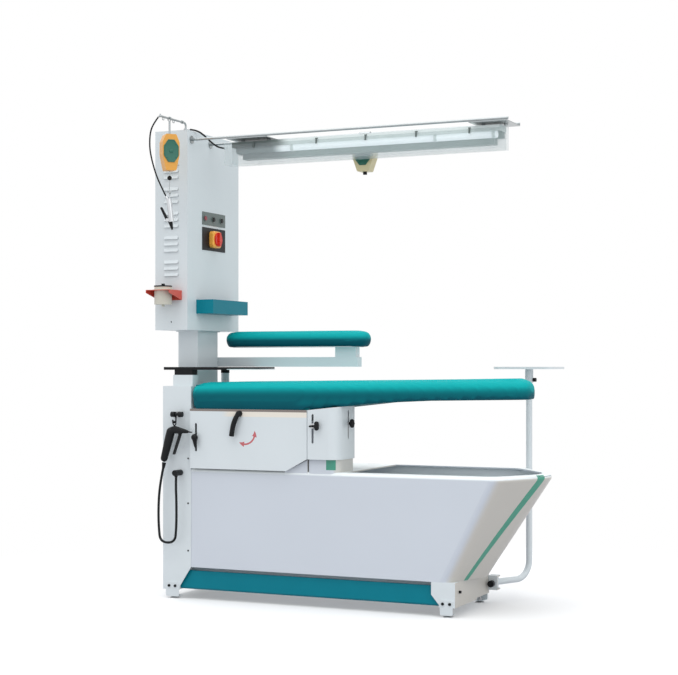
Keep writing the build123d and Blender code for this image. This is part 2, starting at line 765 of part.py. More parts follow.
# Changeover lever outside the housing and the flap on its shaft inside
lever_tip = (330.0, 660.0)
lever_boss = 9.0
lever_tip_radius = 6.0
lever_thick = 8.0
flap_width = 60.0
flap_thick = 3.0
flap_depth = (30.0, 180.0)
with BuildPart() as changeover_lever:
    lever_face = housing_front - soft_gap
    round_bar(at(lever_x, lever_face, lever_z), at(lever_x, lever_face - 2 * lever_thick, lever_z),
              lever_boss)
    with BuildSketch(facing_front(0, lever_face - lever_thick / 2, 0)) as lever:
        with Locations((lever_x, lever_z)):
            Circle(lever_boss)
        with Locations(lever_tip):
            Circle(lever_tip_radius)
        make_hull()
    extrude(lever.sketch, amount=lever_thick)
    round_bar(at(lever_x, lever_face, lever_z),
              at(lever_x, lever_bearing_y + plate + slide_gap, lever_z), lever_shaft)
keep(changeover_lever.part, "changeover_lever")

with BuildPart() as changeover_flap:
    block((lever_x - flap_width, lever_x), flap_depth, (lever_z - flap_thick / 2, lever_z + flap_thick / 2))
    round_bar(at(lever_x, flap_depth[0], lever_z), at(lever_x, flap_depth[1], lever_z),
              lever_shaft + flap_thick)
    round_bar(at(lever_x, flap_depth[0] - overrun, lever_z),
              at(lever_x, flap_depth[1] + overrun, lever_z), lever_shaft + pin_gap, Mode.SUBTRACT)
keep(changeover_flap.part, "changeover_flap")

# Column: square duct with flanges, and two lugs at the back for the sleeve arm
column_wall = 2.0
flange_width = 7.0
flange_thick = 4.0
lug_radius = 22.0
lug_thick = 10.0
arm_pin = 8.0
column_y = (column_front, column_back)
with BuildPart() as column:
    block((column_left, column_right), column_y, (cabinet_top, tower_low))
    for low in (cabinet_top, tower_low - flange_thick):
        block((column_left - flange_width, column_right + flange_width),
              (column_front - flange_width, column_back + flange_width), (low, low + flange_thick))
    block((column_left + column_wall, column_right - column_wall),
          (column_front + column_wall, column_back - column_wall),
          (cabinet_top - overrun, tower_low + overrun), Mode.SUBTRACT)
    lug_lows = (arm_low - slide_gap - lug_thick, arm_low + arm_height + slide_gap)
    for low in lug_lows:
        block((arm_pivot_x - lug_radius, arm_pivot_x + lug_radius), (column_back, arm_y),
              (low, low + lug_thick))
        round_bar(at(arm_pivot_x, arm_y, low), at(arm_pivot_x, arm_y, low + lug_thick), lug_radius)
    round_bar(at(arm_pivot_x, arm_y, lug_lows[0]), at(arm_pivot_x, arm_y, lug_lows[1]), arm_pin)
keep(column.part, "column")

# Sleeve arm: beam on the pin, upright and the core plate under the sleeve pad
upright_left = 642.0
upright_right = 732.0
core_inset = 14.0
core_end = 30.0
sleeve_middle = (sleeve_left + sleeve_right) / 2
sleeve_length = sleeve_right - sleeve_left
with BuildPart() as sleeve_arm:
    arm_span = (arm_y - arm_width / 2, arm_y + arm_width / 2)
    arm_z = (arm_low, arm_low + arm_height)
    block((arm_pivot_x, arm_end), arm_span, arm_z)
    round_bar(at(arm_pivot_x, arm_y, arm_low), at(arm_pivot_x, arm_y, arm_z[1]), lug_radius)
    block((upright_left, upright_right), arm_span, (arm_z[1], sleeve_low - plate))
    with BuildSketch(level(sleeve_low - plate, sleeve_middle, arm_y)) as core:
        SlotOverall(sleeve_length - 2 * core_end, sleeve_width - 2 * core_inset)
    extrude(core.sketch, amount=plate)
    round_bar(at(arm_pivot_x, arm_y, arm_low - overrun), at(arm_pivot_x, arm_y, arm_z[1] + overrun),
              arm_pin + pin_gap, Mode.SUBTRACT)
keep(sleeve_arm.part, "sleeve_arm")

sleeve_heights = (sleeve_low, 1034.0, 1048.0, 1064.0, 1071.0, sleeve_top)
sleeve_insets = (12.0, 1.0, 0.0, 6.0, 14.0, 30.0)
with BuildPart() as sleeve_pad:
    rings = []
    for z, inset in zip(sleeve_heights, sleeve_insets):
        with BuildSketch(level(z + soft_gap, sleeve_middle, arm_y)) as ring:
            SlotOverall(sleeve_length - 2 * inset, sleeve_width - 2 * inset)
        rings.append(ring.sketch)
    loft(rings)
keep(sleeve_pad.part, "sleeve_pad")

# Iron rest: plate round the column on two posts with black buffers
rest_z = 921.0
rest_plate = 3.0
rest_left = -6.0
rest_right = 280.0
rest_front = 22.0
rest_back = 450.0
rest_step_x = 94.0
rest_step_y = 300.0
box_post_x = (38.0, 128.0)
box_post_y = (16.0, 64.0)
box_post_top = 900.0
round_post = (110.0, 322.0)
round_post_radius = 17.0
round_post_wall = 2.0
cap_low = 907.0


column_side = column_right + flange_width
column_step = column_front - flange_width
rest_outline = [
    (rest_left, rest_front), (rest_right, rest_front), (rest_right, rest_back),
    (rest_step_x, rest_back), (rest_step_x, rest_step_y), (column_side, rest_step_y),
    (column_side, column_step), (rest_left, column_step),
]
with BuildPart() as iron_rest:
    prism(level(rest_z), rest_outline, rest_plate)
keep(iron_rest.part, "iron_rest")

with BuildPart() as rest_posts:
    block(box_post_x, box_post_y, (cabinet_top, box_post_top))
    round_bar(at(*round_post, cabinet_top), at(*round_post, cap_low), round_post_radius)
    round_bar(at(*round_post, cabinet_top - overrun), at(*round_post, cap_low + overrun),
              round_post_radius - round_post_wall, Mode.SUBTRACT)
keep(rest_posts.part, "rest_posts")

buffer_inset = 4.0
with BuildPart() as rest_buffers:
    block((box_post_x[0] + buffer_inset, box_post_x[1] - buffer_inset),
          (box_post_y[0] + buffer_inset, box_post_y[1] - buffer_inset), (box_post_top, rest_z))
    round_bar(at(*round_post, cap_low), at(*round_post, rest_z), round_post_radius + slide_gap)
keep(rest_buffers.part, "rest_buffers")

# Tower: folded sheet shell on the column, with groups of hooded louvres on the front
louvre_width = 64.0
louvre_slot = 6.0
louvre_hood = 5.0
louvre_rise = 14.0
louvre_skin = 1.2
louvre_pitch = 25.0
louvre_group_share = 0.122
louvre_first_share = 0.27
louvre_groups = 5
louvres_each = 3
peep_z = 1112.0
peep_radius = 3.0
tower_x = (tower_left, tower_right)
tower_middle = (tower_left + tower_right) / 2
louvre_lows = [
    tower_low + (louvre_first_share + group * louvre_group_share) * tower_height + row * louvre_pitch
    for group in range(louvre_groups) for row in range(louvres_each)
]
button_places = (93.5, 161.5, 229.5)
button_drop = 341.0
button_z = tower_top - button_drop
button_radius = 9.0
button_hole = button_radius + pin_gap
switch_y = 165.0
switch_drop = 423.5
switch_z = tower_top - switch_drop
spindle_radius = 4.0
with BuildPart() as tower_shell:
    block(tower_x, (tower_front, tower_back), (tower_low, tower_top))
    block((tower_left + sheet, tower_right - sheet), (tower_front + sheet, tower_back + overrun),
          (tower_low + sheet, tower_top - sheet), Mode.SUBTRACT)
    block((column_left + flange_width, column_right - flange_width),
          (column_front + flange_width, column_back - flange_width),
          (tower_low - overrun, tower_low + overrun), Mode.SUBTRACT)
    for low in louvre_lows:
        block((tower_middle - louvre_width / 2, tower_middle + louvre_width / 2),
              (tower_front - overrun, tower_front + overrun), (low, low + louvre_slot), Mode.SUBTRACT)
        prism(facing_right(tower_middle - louvre_width / 2, 0, 0),
              [(tower_front, low + louvre_rise), (tower_front - louvre_hood, low + louvre_skin),
               (tower_front - louvre_hood, low), (tower_front - louvre_hood + louvre_skin, low),
               (tower_front, low + louvre_rise - 2 * louvre_skin)], louvre_width)
    round_bar(at(tower_middle, tower_front - overrun, peep_z),
              at(tower_middle, tower_front + overrun, peep_z), peep_radius, Mode.SUBTRACT)
    for y in button_places:
        round_bar(at(tower_right - overrun, y, button_z), at(tower_right + overrun, y, button_z),
                  button_hole + slide_gap, Mode.SUBTRACT)
keep(tower_shell.part, "tower_shell")

# Control plates on the tower's right side, push buttons and the main switch
control_y = (74.0, 265.0)
grey_height = 53.0
black_height = 93.0
grey_z = (button_z - grey_height / 2, button_z + grey_height / 2)
black_z = (switch_z - black_height / 2, switch_z + black_height / 2)
control_thick = 2.0
control_face = tower_right + control_thick
with BuildPart() as control_plates:
    for z in (grey_z, black_z):
        block((tower_right, control_face), control_y, z)
    for y in button_places:
        round_bar(at(tower_right, y, button_z), at(control_face + plate, y, button_z),
                  button_radius + plate)
        round_bar(at(tower_right - overrun, y, button_z), at(control_face + overrun, y, button_z),
                  button_hole, Mode.SUBTRACT)
keep(control_plates.part, "control_plates")

button_back = 22.0
button_proud = 6.0
for name, y in zip(("front", "middle", "rear"), button_places):
    with BuildPart() as push_button:
        round_bar(at(tower_right - button_back, y, button_z),
                  at(control_face + button_proud, y, button_z), button_radius)
    keep(push_button.part, f"push_button_{name}")

switch_half = 34.0
switch_thick = 20.0
switch_edge = 6.0
switch_corner = 14.0
knob_radius = 28.0
knob_grip = 13.0
with BuildPart() as switch_body:
    block((control_face, control_face + switch_thick), (switch_y - switch_half, switch_y + switch_half),
          (switch_z - switch_half, switch_z + switch_half))
    fillet(switch_body.edges().filter_by(Axis.X), switch_corner)
    outer_face = switch_body.faces().sort_by(Axis.X)[-1]
    fillet(outer_face.edges(), switch_edge)
    round_bar(at(control_face, switch_y, switch_z),
              at(control_face + switch_thick + knob_grip / 2, switch_y, switch_z), spindle_radius)
keep(switch_body.part, "switch_body")

knob_flange = 6.0
grip_half = 6.0
with BuildPart() as main_switch_knob:
    knob_back = control_face + switch_thick + soft_gap
    round_bar(at(knob_back, switch_y, switch_z), at(knob_back + knob_flange, switch_y, switch_z),
              knob_radius)
    block((knob_back, knob_back + knob_grip), (switch_y - grip_half, switch_y + grip_half),
          (switch_z - knob_radius, switch_z + knob_radius))
    round_bar(at(knob_back - overrun, switch_y, switch_z),
              at(control_face + switch_thick + knob_grip / 2 + slide_gap, switch_y, switch_z),
              spindle_radius + pin_gap, Mode.SUBTRACT)
keep(main_switch_knob.part, "main_switch_knob")

contactor_thick = 60.0
contactor_gap = 30.0
contactor_y = (90.0, 250.0)
relay_thick = 40.0
with BuildPart() as contactor_box:
    block((tower_right - sheet - contactor_thick, tower_right - sheet), contactor_y, black_z)
    block((tower_right - sheet - contactor_thick, tower_right - contactor_gap), contactor_y, grey_z)
    block((tower_right - sheet - contactor_thick, tower_right - sheet - relay_thick), contactor_y,
          (black_z[0], grey_z[1]))
keep(contactor_box.part, "contactor_box")

# Tool tray hung on the tower's right side
tool_tray_x = (tower_right, 217.0)
tool_tray_y = (26.0, 322.0)
tool_tray_z = (1147.0, 1203.0)
with BuildPart() as tool_tray:
    block(tool_tray_x, tool_tray_y, tool_tray_z)
    block((tool_tray_x[0] + sheet, tool_tray_x[1] - sheet),
          (tool_tray_y[0] + sheet, tool_tray_y[1] - sheet),
          (tool_tray_z[0] + sheet, tool_tray_z[1] + overrun), Mode.SUBTRACT)
keep(tool_tray.part, "tool_tray")

# Cup bracket on the tower's front, the cup that drops into it, and the lid
cup_x = 58.0
cup_y = -96.0
cup_radius = 35.0
cup_low = 1180.0
cup_top = 1250.0
cup_wall = 2.0
cup_rim = 42.0
cup_neck_drop = 8.0
cup_neck_radius = 6.0
bracket_z = 1235.0
bracket_sheet = 2.0
bracket_x = (7.0, 114.0)
bracket_front = -144.0
gusset_low = 1199.0
lid_rise = 5.0
lid_knob_radius = 7.0
lid_knob_height = 8.0
with BuildPart() as cup_bracket:
    block(bracket_x, (bracket_front, tower_front), (bracket_z, bracket_z + bracket_sheet))
    block(bracket_x, (tower_front - bracket_sheet, tower_front), (gusset_low, bracket_z))
    for x in (bracket_x[0], bracket_x[1] - bracket_sheet):
        prism(facing_right(x, 0, 0),
              [(tower_front, gusset_low), (tower_front, bracket_z), (bracket_front, bracket_z),
               (bracket_front, bracket_z - overrun)], bracket_sheet)
    round_bar(at(cup_x, cup_y, bracket_z - overrun), at(cup_x, cup_y, bracket_z + overrun),
              cup_radius + soft_gap, Mode.SUBTRACT)
keep(cup_bracket.part, "cup_bracket")

with BuildPart() as spray_cup:
    rim_low = bracket_z + bracket_sheet
    round_bar(at(cup_x, cup_y, cup_low), at(cup_x, cup_y, cup_top), cup_radius)
    round_bar(at(cup_x, cup_y, rim_low), at(cup_x, cup_y, rim_low + cup_wall), cup_rim)
    round_bar(at(cup_x, cup_y, cup_low + cup_wall), at(cup_x, cup_y, cup_top + overrun),
              cup_radius - cup_wall, Mode.SUBTRACT)
    round_bar(at(cup_x, cup_y, cup_low - cup_neck_drop), at(cup_x, cup_y, cup_low), cup_neck_radius)
keep(spray_cup.part, "spray_cup")

with BuildPart() as cup_lid:
    round_bar(at(cup_x, cup_y, cup_top), at(cup_x, cup_y, cup_top + lid_rise), cup_radius + slide_gap)
    round_bar(at(cup_x, cup_y, cup_top - plate), at(cup_x, cup_y, cup_top),
              cup_radius - cup_wall - slide_gap)
    round_bar(at(cup_x, cup_y, cup_top + lid_rise),
              at(cup_x, cup_y, cup_top + lid_rise + lid_knob_height), lid_knob_radius)
keep(cup_lid.part, "cup_lid")


def pipe_run(points, bends, radius):
    """A round bar along a path of straight runs and bends."""
    with BuildLine() as path:
        FilletPolyline(*points, radius=bends)
    with BuildSketch(Plane(origin=path.line @ 0, z_dir=path.line % 0)) as section:
        Circle(radius)
    sweep(section.sketch, path=path.line)


def bend_radii(points):
    """The widest radius at each inner point that leaves a straight part on both its runs."""
    radii = []
    for before, here, after in zip(points, points[1:], points[2:]):
        run_in = here - before
        run_out = after - here
        half_turn = radians(run_in.get_angle(run_out)) / 2
        shorter = min(run_in.length, run_out.length)
        radii.append(bend_run_share * shorter / tan(half_turn))
    return radii


def cord(places, diameter, label):
    """A flexible cord or hose that follows its places in smooth bends."""
    points = [at(*place) for place in places]
    radii = bend_radii(points)
    print(label, "bend radii in diameters", [round(r / diameter, 1) for r in radii])
    with BuildPart() as run:
        pipe_run(points, radii, diameter / 2)
    keep(run.part, label)


bend_run_share = 0.45

# Air pipe that leans out of the tower's top, with hooks for the balancer and a cable clip
pipe_foot_y = -33.0
pipe_tip = pipe_z + 2 * pipe_radius
pipe_bend = 14.0
pipe_base = 15.0
hook_places = (-201.0, -123.0)
hook_drop = 12.0
hook_radius = 1.5
clip_y = -62.0
clip_radius = 6.5
clip_half = 4.0
nipple_drop = 4.0
nipple_reach = 9.0
nipple_radius = 3.4
with BuildPart() as hook_bar:
    pipe_run([at(pipe_x, pipe_foot_y, tower_top), at(pipe_x, pipe_foot_y, pipe_z),
              at(pipe_x, pipe_front, pipe_z)], pipe_bend, pipe_radius)
    with Locations(at(pipe_x, pipe_front, pipe_z)):
        Sphere(pipe_radius + slide_gap)
    round_bar(at(pipe_x, pipe_front, pipe_z), at(pipe_x, pipe_front, pipe_tip), pipe_radius - slide_gap)
    round_bar(at(pipe_x, pipe_front, pipe_z), at(pipe_x - nipple_reach, pipe_front, pipe_z - nipple_drop),
              nipple_radius)
    round_bar(at(pipe_x, clip_y - clip_half, pipe_z), at(pipe_x, clip_y + clip_half, pipe_z), clip_radius)
    round_bar(at(pipe_x, pipe_foot_y, tower_top), at(pipe_x, pipe_foot_y, tower_top + plate), pipe_base / 2)
    for y in hook_places:
        pipe_run([at(pipe_x, y, pipe_z), at(pipe_x, y, pipe_z - hook_drop),
                  at(pipe_x, y - hook_drop, pipe_z - hook_drop),
                  at(pipe_x, y - hook_drop, pipe_z - hook_drop / 3)], 2 * hook_radius, hook_radius)
keep(hook_bar.part, "hook_bar")

# Tool balancer on the pipe: ring, body, cord with a ball stopper and a hook
balancer_y = -159.0
balancer_drop = 63.0
balancer_height = 142.0
balancer_z = (pipe_z - balancer_drop - balancer_height, pipe_z - balancer_drop)
balancer_width = 68.0
balancer_end = 42.0
balancer_shoulders = (0.43, 0.78)
balancer_thick = 46.0
balancer_edge = 5.0
balancer_turn = radians(47)
ring_radius = 8.0
ring_wire = 2.0
cord_radius = 1.5
ball_drop = 28.0
ball_z = balancer_z[0] - ball_drop
ball_radius = 9.0
eye_drop = 84.0
eye_z = balancer_z[0] - eye_drop
eye_radius = 6.0
eye_wire = 1.8


def balancer_body(plane, width, end, low, high, thick):
    """Flat housing of a spring balancer, narrower at both its ends."""
    waist = [low + share * (high - low) for share in balancer_shoulders]
    with BuildSketch(plane) as outline:
        with BuildLine():
            Polyline((-end / 2, low), (end / 2, low), (width / 2, waist[0]), (width / 2, waist[1]),
                     (end / 2, high), (-end / 2, high), (-width / 2, waist[1]), (-width / 2, waist[0]),
                     close=True)
        make_face()
        fillet(outline.vertices(), balancer_edge)
    extrude(outline.sketch, amount=thick / 2, both=True)


with BuildPart() as tool_balancer:
    turned = Plane(origin=at(pipe_x, balancer_y, 0), x_dir=(cos(balancer_turn), sin(balancer_turn), 0),
                   z_dir=(sin(balancer_turn), -cos(balancer_turn), 0))
    balancer_body(turned, balancer_width, balancer_end, *balancer_z, balancer_thick)
    ring_z = pipe_z + pipe_radius + soft_gap - ring_radius + ring_wire
    with Locations(Plane(origin=at(pipe_x, balancer_y, ring_z), z_dir=(0, 1, 0))):
        Torus(ring_radius, ring_wire)
    round_bar(at(pipe_x, balancer_y, balancer_z[1]), at(pipe_x, balancer_y, ring_z - ring_radius),
              2 * ring_wire)
    round_bar(at(pipe_x, balancer_y, eye_z + eye_radius), at(pipe_x, balancer_y, balancer_z[0]), cord_radius)
    with Locations(at(pipe_x, balancer_y, ball_z)):
        Sphere(ball_radius)
    with Locations(Plane(origin=at(pipe_x, balancer_y, eye_z), z_dir=(0, 1, 0))):
        Torus(eye_radius, eye_wire)
keep(tool_balancer.part, "tool_balancer")

# Air gun hung on the balancer's eye: ring, body, nozzle, hose tail and squeeze lever
gun_top = (122.0, eye_z - 26.0)
gun_low = (134.0, eye_z - 116.0)
gun_nozzle = (137.0, eye_z - 142.0)
gun_radius = 10.0
gun_nozzle_radius = 4.0
gun_tail = (109.0, eye_z - 15.0)
gun_tail_radius = 4.5
gun_pivot = (115.5, eye_z - 108.0)
gun_pin = 2.5
gun_lever_tip = (88.0, eye_z - 60.0)
gun_ring_radius = 6.0
gun_ring_wire = 1.8
gun_ear = 6.0
with BuildPart() as air_gun:
    gun_y = balancer_y
    top = at(gun_top[0], gun_y, gun_top[1])
    low = at(gun_low[0], gun_y, gun_low[1])
    round_bar(top, low, gun_radius)
    round_bar(low, at(gun_nozzle[0], gun_y, gun_nozzle[1]), gun_nozzle_radius)
    round_bar(at(gun_top[0], gun_y, gun_top[1] - gun_radius / 2), at(gun_tail[0], gun_y, gun_tail[1]),
              gun_tail_radius)
    ring_place = eye_z - eye_radius + eye_wire + soft_gap - gun_ring_radius + gun_ring_wire
    with Locations(Plane(origin=at(pipe_x, gun_y, ring_place), z_dir=(1, 0, 0))):
        Torus(gun_ring_radius, gun_ring_wire)
    round_bar(at(pipe_x, gun_y, gun_top[1] - gun_radius), at(pipe_x, gun_y, ring_place - gun_ring_radius),
              gun_ring_wire)
    for y in (gun_y - gun_ear, gun_y + gun_ear - sheet):
        block((gun_pivot[0] - gun_pin - sheet, gun_low[0]), (y, y + sheet),
              (gun_pivot[1] - gun_ear, gun_pivot[1] + gun_ear))
    round_bar(at(gun_pivot[0], gun_y - gun_ear, gun_pivot[1]),
              at(gun_pivot[0], gun_y + gun_ear, gun_pivot[1]), gun_pin)
keep(air_gun.part, "air_gun")

lever_skin = 3.0
with BuildPart() as air_gun_trigger:
    half_lever = gun_ear - sheet - soft_gap
    with BuildSketch(facing_front(0, gun_y + half_lever, 0)) as lever:
        with Locations(gun_pivot):
            Circle(gun_pin + lever_skin)
        with Locations(gun_lever_tip):
            Circle(lever_skin)
        make_hull()
        with Locations(gun_pivot):
            Circle(gun_pin + pin_gap, mode=Mode.SUBTRACT)
    extrude(lever.sketch, amount=2 * half_lever)
keep(air_gun_trigger.part, "air_gun_trigger")

air_hose_diameter = 6.0
air_hose_end = (gun_tail[0], balancer_y, gun_tail[1])
air_hose_path = [
    (pipe_x - nipple_reach, pipe_front, pipe_z - nipple_drop), (91.0, -226.0, pipe_z - 29.0),
    (73.0, -220.0, pipe_z - 62.0), (65.0, -210.0, pipe_z - 118.0), (68.0, -198.0, eye_z + 125.0),
    (78.0, -186.0, eye_z + 73.0), (92.0, -173.0, eye_z + 28.0), air_hose_end,
]
cord(air_hose_path, air_hose_diameter, "air_hose")

# Overhead frame: two long rods with plates between them that carry the lamp
wall_flange = 16.0
hanger_thick = 3.5
hanger_y = (-17.0, 147.0)
hanger_z = rod_z - rod_radius - hanger_thick
hangers = ((300.0, 475.0), (1312.0, 1459.0))
spacer_radius = 7.0
spacer_inset = 30.0
with BuildPart() as overhead_frame:
    round_bar(at(tower_right, front_rod_y, rod_z), at(rod_end, front_rod_y, rod_z), rod_radius)
    round_bar(at(tower_right, front_rod_y, rod_z), at(tower_right + plate, front_rod_y, rod_z), wall_flange)
    round_bar(at(tower_right, rear_rod_y, rod_z), at(hangers[1][1], rear_rod_y, rod_z), rod_radius)
    round_bar(at(tower_right, rear_rod_y, rod_z), at(tower_right + plate, rear_rod_y, rod_z), wall_flange)
    for span in hangers:
        block(span, hanger_y, (hanger_z, hanger_z + hanger_thick))
        for x in (span[0] + spacer_inset, span[1] - spacer_inset):
            middle = (lamp_front + lamp_back) / 2
            round_bar(at(x, middle, lamp_top), at(x, middle, hanger_z), spacer_radius)
        for y in (front_rod_y, rear_rod_y):
            block(span, (y - rod_radius / 2, y + rod_radius / 2), (hanger_z, rod_z - rod_radius / 2))
keep(overhead_frame.part, "overhead_frame")

# Lamp: white reflector, grey gear tray, tube with its holders, clear cover and end caps
reflector_depth = 22.0
reflector_low = lamp_top - reflector_depth
gear_low = 21.0
gear_height = 23.0
gear_z = (lamp_low + gear_low, lamp_low + gear_low + gear_height)
gear_y = (64.0, 101.0)
tube_y = 50.0
tube_drop = 33.0
tube_z = lamp_top - tube_drop
tube_radius = 13.0
tube_inset = 16.0
holder_places = (325.0, 560.0, 1160.0, 1390.0)
holder_width = 12.0
cover_skin = 2.0
with BuildPart() as lamp_reflector:
    lamp_x = (lamp_left, lamp_right)
    block(lamp_x, (lamp_front, lamp_back), (reflector_low, lamp_top))
    block((lamp_left + sheet, lamp_right - sheet), (lamp_front + sheet, lamp_back - sheet),
          (reflector_low - overrun, lamp_top - sheet), Mode.SUBTRACT)
    for x in holder_places:
        block((x - holder_width / 2, x + holder_width / 2), (tube_y - holder_width / 2,
              tube_y + holder_width / 2), (tube_z, lamp_top - sheet))
        round_bar(at(x - holder_width / 2, tube_y, tube_z), at(x + holder_width / 2, tube_y, tube_z),
                  tube_radius + cover_skin)
        round_bar(at(x - holder_width, tube_y, tube_z), at(x + holder_width, tube_y, tube_z),
                  tube_radius, Mode.SUBTRACT)
keep(lamp_reflector.part, "lamp_reflector")

with BuildPart() as lamp_gear_tray:
    gear_inset = 2 * tube_inset
    block((lamp_left + gear_inset, lamp_right - gear_inset), gear_y, gear_z)
    for x in holder_places:
        block((x - 2 * holder_width, x + 2 * holder_width), (gear_y[1] - holder_width, gear_y[1]),
              (gear_z[1], lamp_top - sheet))
keep(lamp_gear_tray.part, "lamp_gear_tray")

with BuildPart() as lamp_tube:
    tube_x = (lamp_left + tube_inset, lamp_right - tube_inset)
    round_bar(at(tube_x[0], tube_y, tube_z), at(tube_x[1], tube_y, tube_z), tube_radius)
keep(lamp_tube.part, "lamp_tube")

cap_left = 264.0
cap_right = 1427.0
cable_gland = 7.0
gland_reach = 19.0
gland_z = lamp_top - lamp_drop
gland_y = (lamp_front + lamp_back) / 2
with BuildPart() as lamp_cover:
    block((lamp_left, lamp_right), (lamp_front - cover_skin, lamp_back + cover_skin),
          (lamp_low, reflector_low + holder_width))
    block((lamp_left - overrun, lamp_right + overrun), (lamp_front, lamp_back),
          (lamp_low + cover_skin, lamp_top), Mode.SUBTRACT)
    bottom_edges = lamp_cover.faces().sort_by(Axis.Z)[0].edges().filter_by(Axis.X)
    fillet(bottom_edges, cover_skin)
    for x in ((cap_left, lamp_left), (lamp_right, cap_right)):
        block(x, (lamp_front - cover_skin, lamp_back + cover_skin), (lamp_low, lamp_top))
    round_bar(at(cap_left - gland_reach, gland_y, gland_z), at(cap_left, gland_y, gland_z), cable_gland)
keep(lamp_cover.part, "lamp_cover")

# Cable from an elbow gland on the tower's top to the lamp's left cap
elbow = (112.0, -14.0)
elbow_end = (126.0, -3.0)
elbow_z = tower_top + cable_gland
cable_diameter = 7.0
lamp_cable_path = [
    (*elbow_end, elbow_z), (150.0, 16.0, tower_top + 5.0), (176.0, 36.0, tower_top - 19.0),
    (200.0, 53.0, lamp_top + 4.0), (222.0, 66.0, lamp_top - 12.0),
    (cap_left - gland_reach, gland_y, gland_z),
]
cord(lamp_cable_path, cable_diameter, "lamp_cable")

# Iron balancer: trolley on the rear rod and the balancer that hangs from it
trolley_x = 829.0
trolley_half = 24.0
trolley_radius = 9.0
iron_drop = 19.0
iron_height = 128.0
iron_balancer_z = (rod_z - iron_drop - iron_height, rod_z - iron_drop)
iron_width = 88.0
iron_end = 48.0
hanger_gap = 6.0
iron_nipple_radius = 8.0
iron_nipple_length = 11.0
with BuildPart() as balancer_trolley:
    trolley_span = (trolley_x - trolley_half, trolley_x + trolley_half)
    rod_middle = (rear_rod_y, rod_z)
    round_bar(at(trolley_span[0], *rod_middle), at(trolley_span[1], *rod_middle), trolley_radius)
    block((trolley_x - hanger_gap, trolley_x + hanger_gap), (rear_rod_y - plate, rear_rod_y + plate),
          (iron_balancer_z[1], rod_z - rod_radius))
    round_bar(at(trolley_span[0] - overrun, *rod_middle), at(trolley_span[1] + overrun, *rod_middle),
              rod_radius + pin_gap, Mode.SUBTRACT)
keep(balancer_trolley.part, "balancer_trolley")

with BuildPart() as iron_balancer:
    balancer_body(facing_front(trolley_x, rear_rod_y, 0), iron_width, iron_end, *iron_balancer_z,
                  balancer_thick)
    round_bar(at(trolley_x, rear_rod_y, iron_balancer_z[0] - iron_nipple_length),
              at(trolley_x, rear_rod_y, iron_balancer_z[0]), iron_nipple_radius)
keep(iron_balancer.part, "iron_balancer")

# Spray gun on its hook at the leg cabinet, with its trigger, socket and hose
gun_hook_x = 74.0
gun_hook_plate = (50.0, 80.0)
gun_hook_high = 742.0
gun_hook_half = 11.0
roller_x = (54.0, 104.0)
roller_length = 17.0
roller_radius = 11.0
roller_bar = 6.0
spray_y = -36.0
spray_ring = (74.0, 706.0)
spray_ring_radius = 9.0
spray_ring_wire = 2.5
gun_hook_rod = 3.0
gun_hook_z = spray_ring[1] + spray_ring_radius - spray_ring_wire - gun_hook_rod - soft_gap
gun_hook_tip = 12.0
gun_hook_stem_y = spray_y + gun_hook_tip
spray_head = ((49.0, 677.0), (130.0, 677.0))
spray_head_radius = 12.0
spray_nozzle_x = 155.0
spray_nozzle_radius = 4.0
spray_handle = ((66.0, 670.0), (28.0, 552.0))
spray_handle_radii = (14.0, 12.0)
spray_handle_half = 11.0
spray_tail = (24.0, 534.0)
spray_tail_radius = 6.5
trigger_pivot = (100.0, 660.0)
trigger_tip = (73.0, 585.0)
trigger_pin = 2.5
trigger_skin = 3.5
trigger_half = 6.0
trigger_ear = 8.0
socket_x = 82.0
socket_z = 508.0
socket_radius = 12.0
socket_reach = 48.0
socket_nipple_low = 492.0
with BuildPart() as front_fittings:
    block(gun_hook_plate, (-plate, 0), (gun_hook_high - gun_hook_half, gun_hook_high + gun_hook_half))
    block((gun_hook_x - roller_bar, gun_hook_x + roller_bar), (gun_hook_stem_y, 0),
          (gun_hook_high - roller_bar, gun_hook_high + roller_bar))
    round_bar(at(roller_x[0], gun_hook_stem_y, gun_hook_high),
              at(roller_x[1], gun_hook_stem_y, gun_hook_high), roller_bar)
    for start in (roller_x[0], roller_x[1] - roller_length):
        round_bar(at(start, gun_hook_stem_y, gun_hook_high),
                  at(start + roller_length, gun_hook_stem_y, gun_hook_high), roller_radius)
    pipe_run([at(gun_hook_x, gun_hook_stem_y, gun_hook_high), at(gun_hook_x, gun_hook_stem_y, gun_hook_z),
              at(gun_hook_x, spray_y - gun_hook_tip, gun_hook_z),
              at(gun_hook_x, spray_y - gun_hook_tip, gun_hook_z + gun_hook_tip)],
             gun_hook_rod + slide_gap, gun_hook_rod)
    round_bar(at(socket_x, 0, socket_z), at(socket_x, -socket_reach, socket_z), socket_radius)
    round_bar(at(socket_x, spray_y, socket_nipple_low), at(socket_x, spray_y, socket_z),
              spray_tail_radius)
keep(front_fittings.part, "front_fittings")

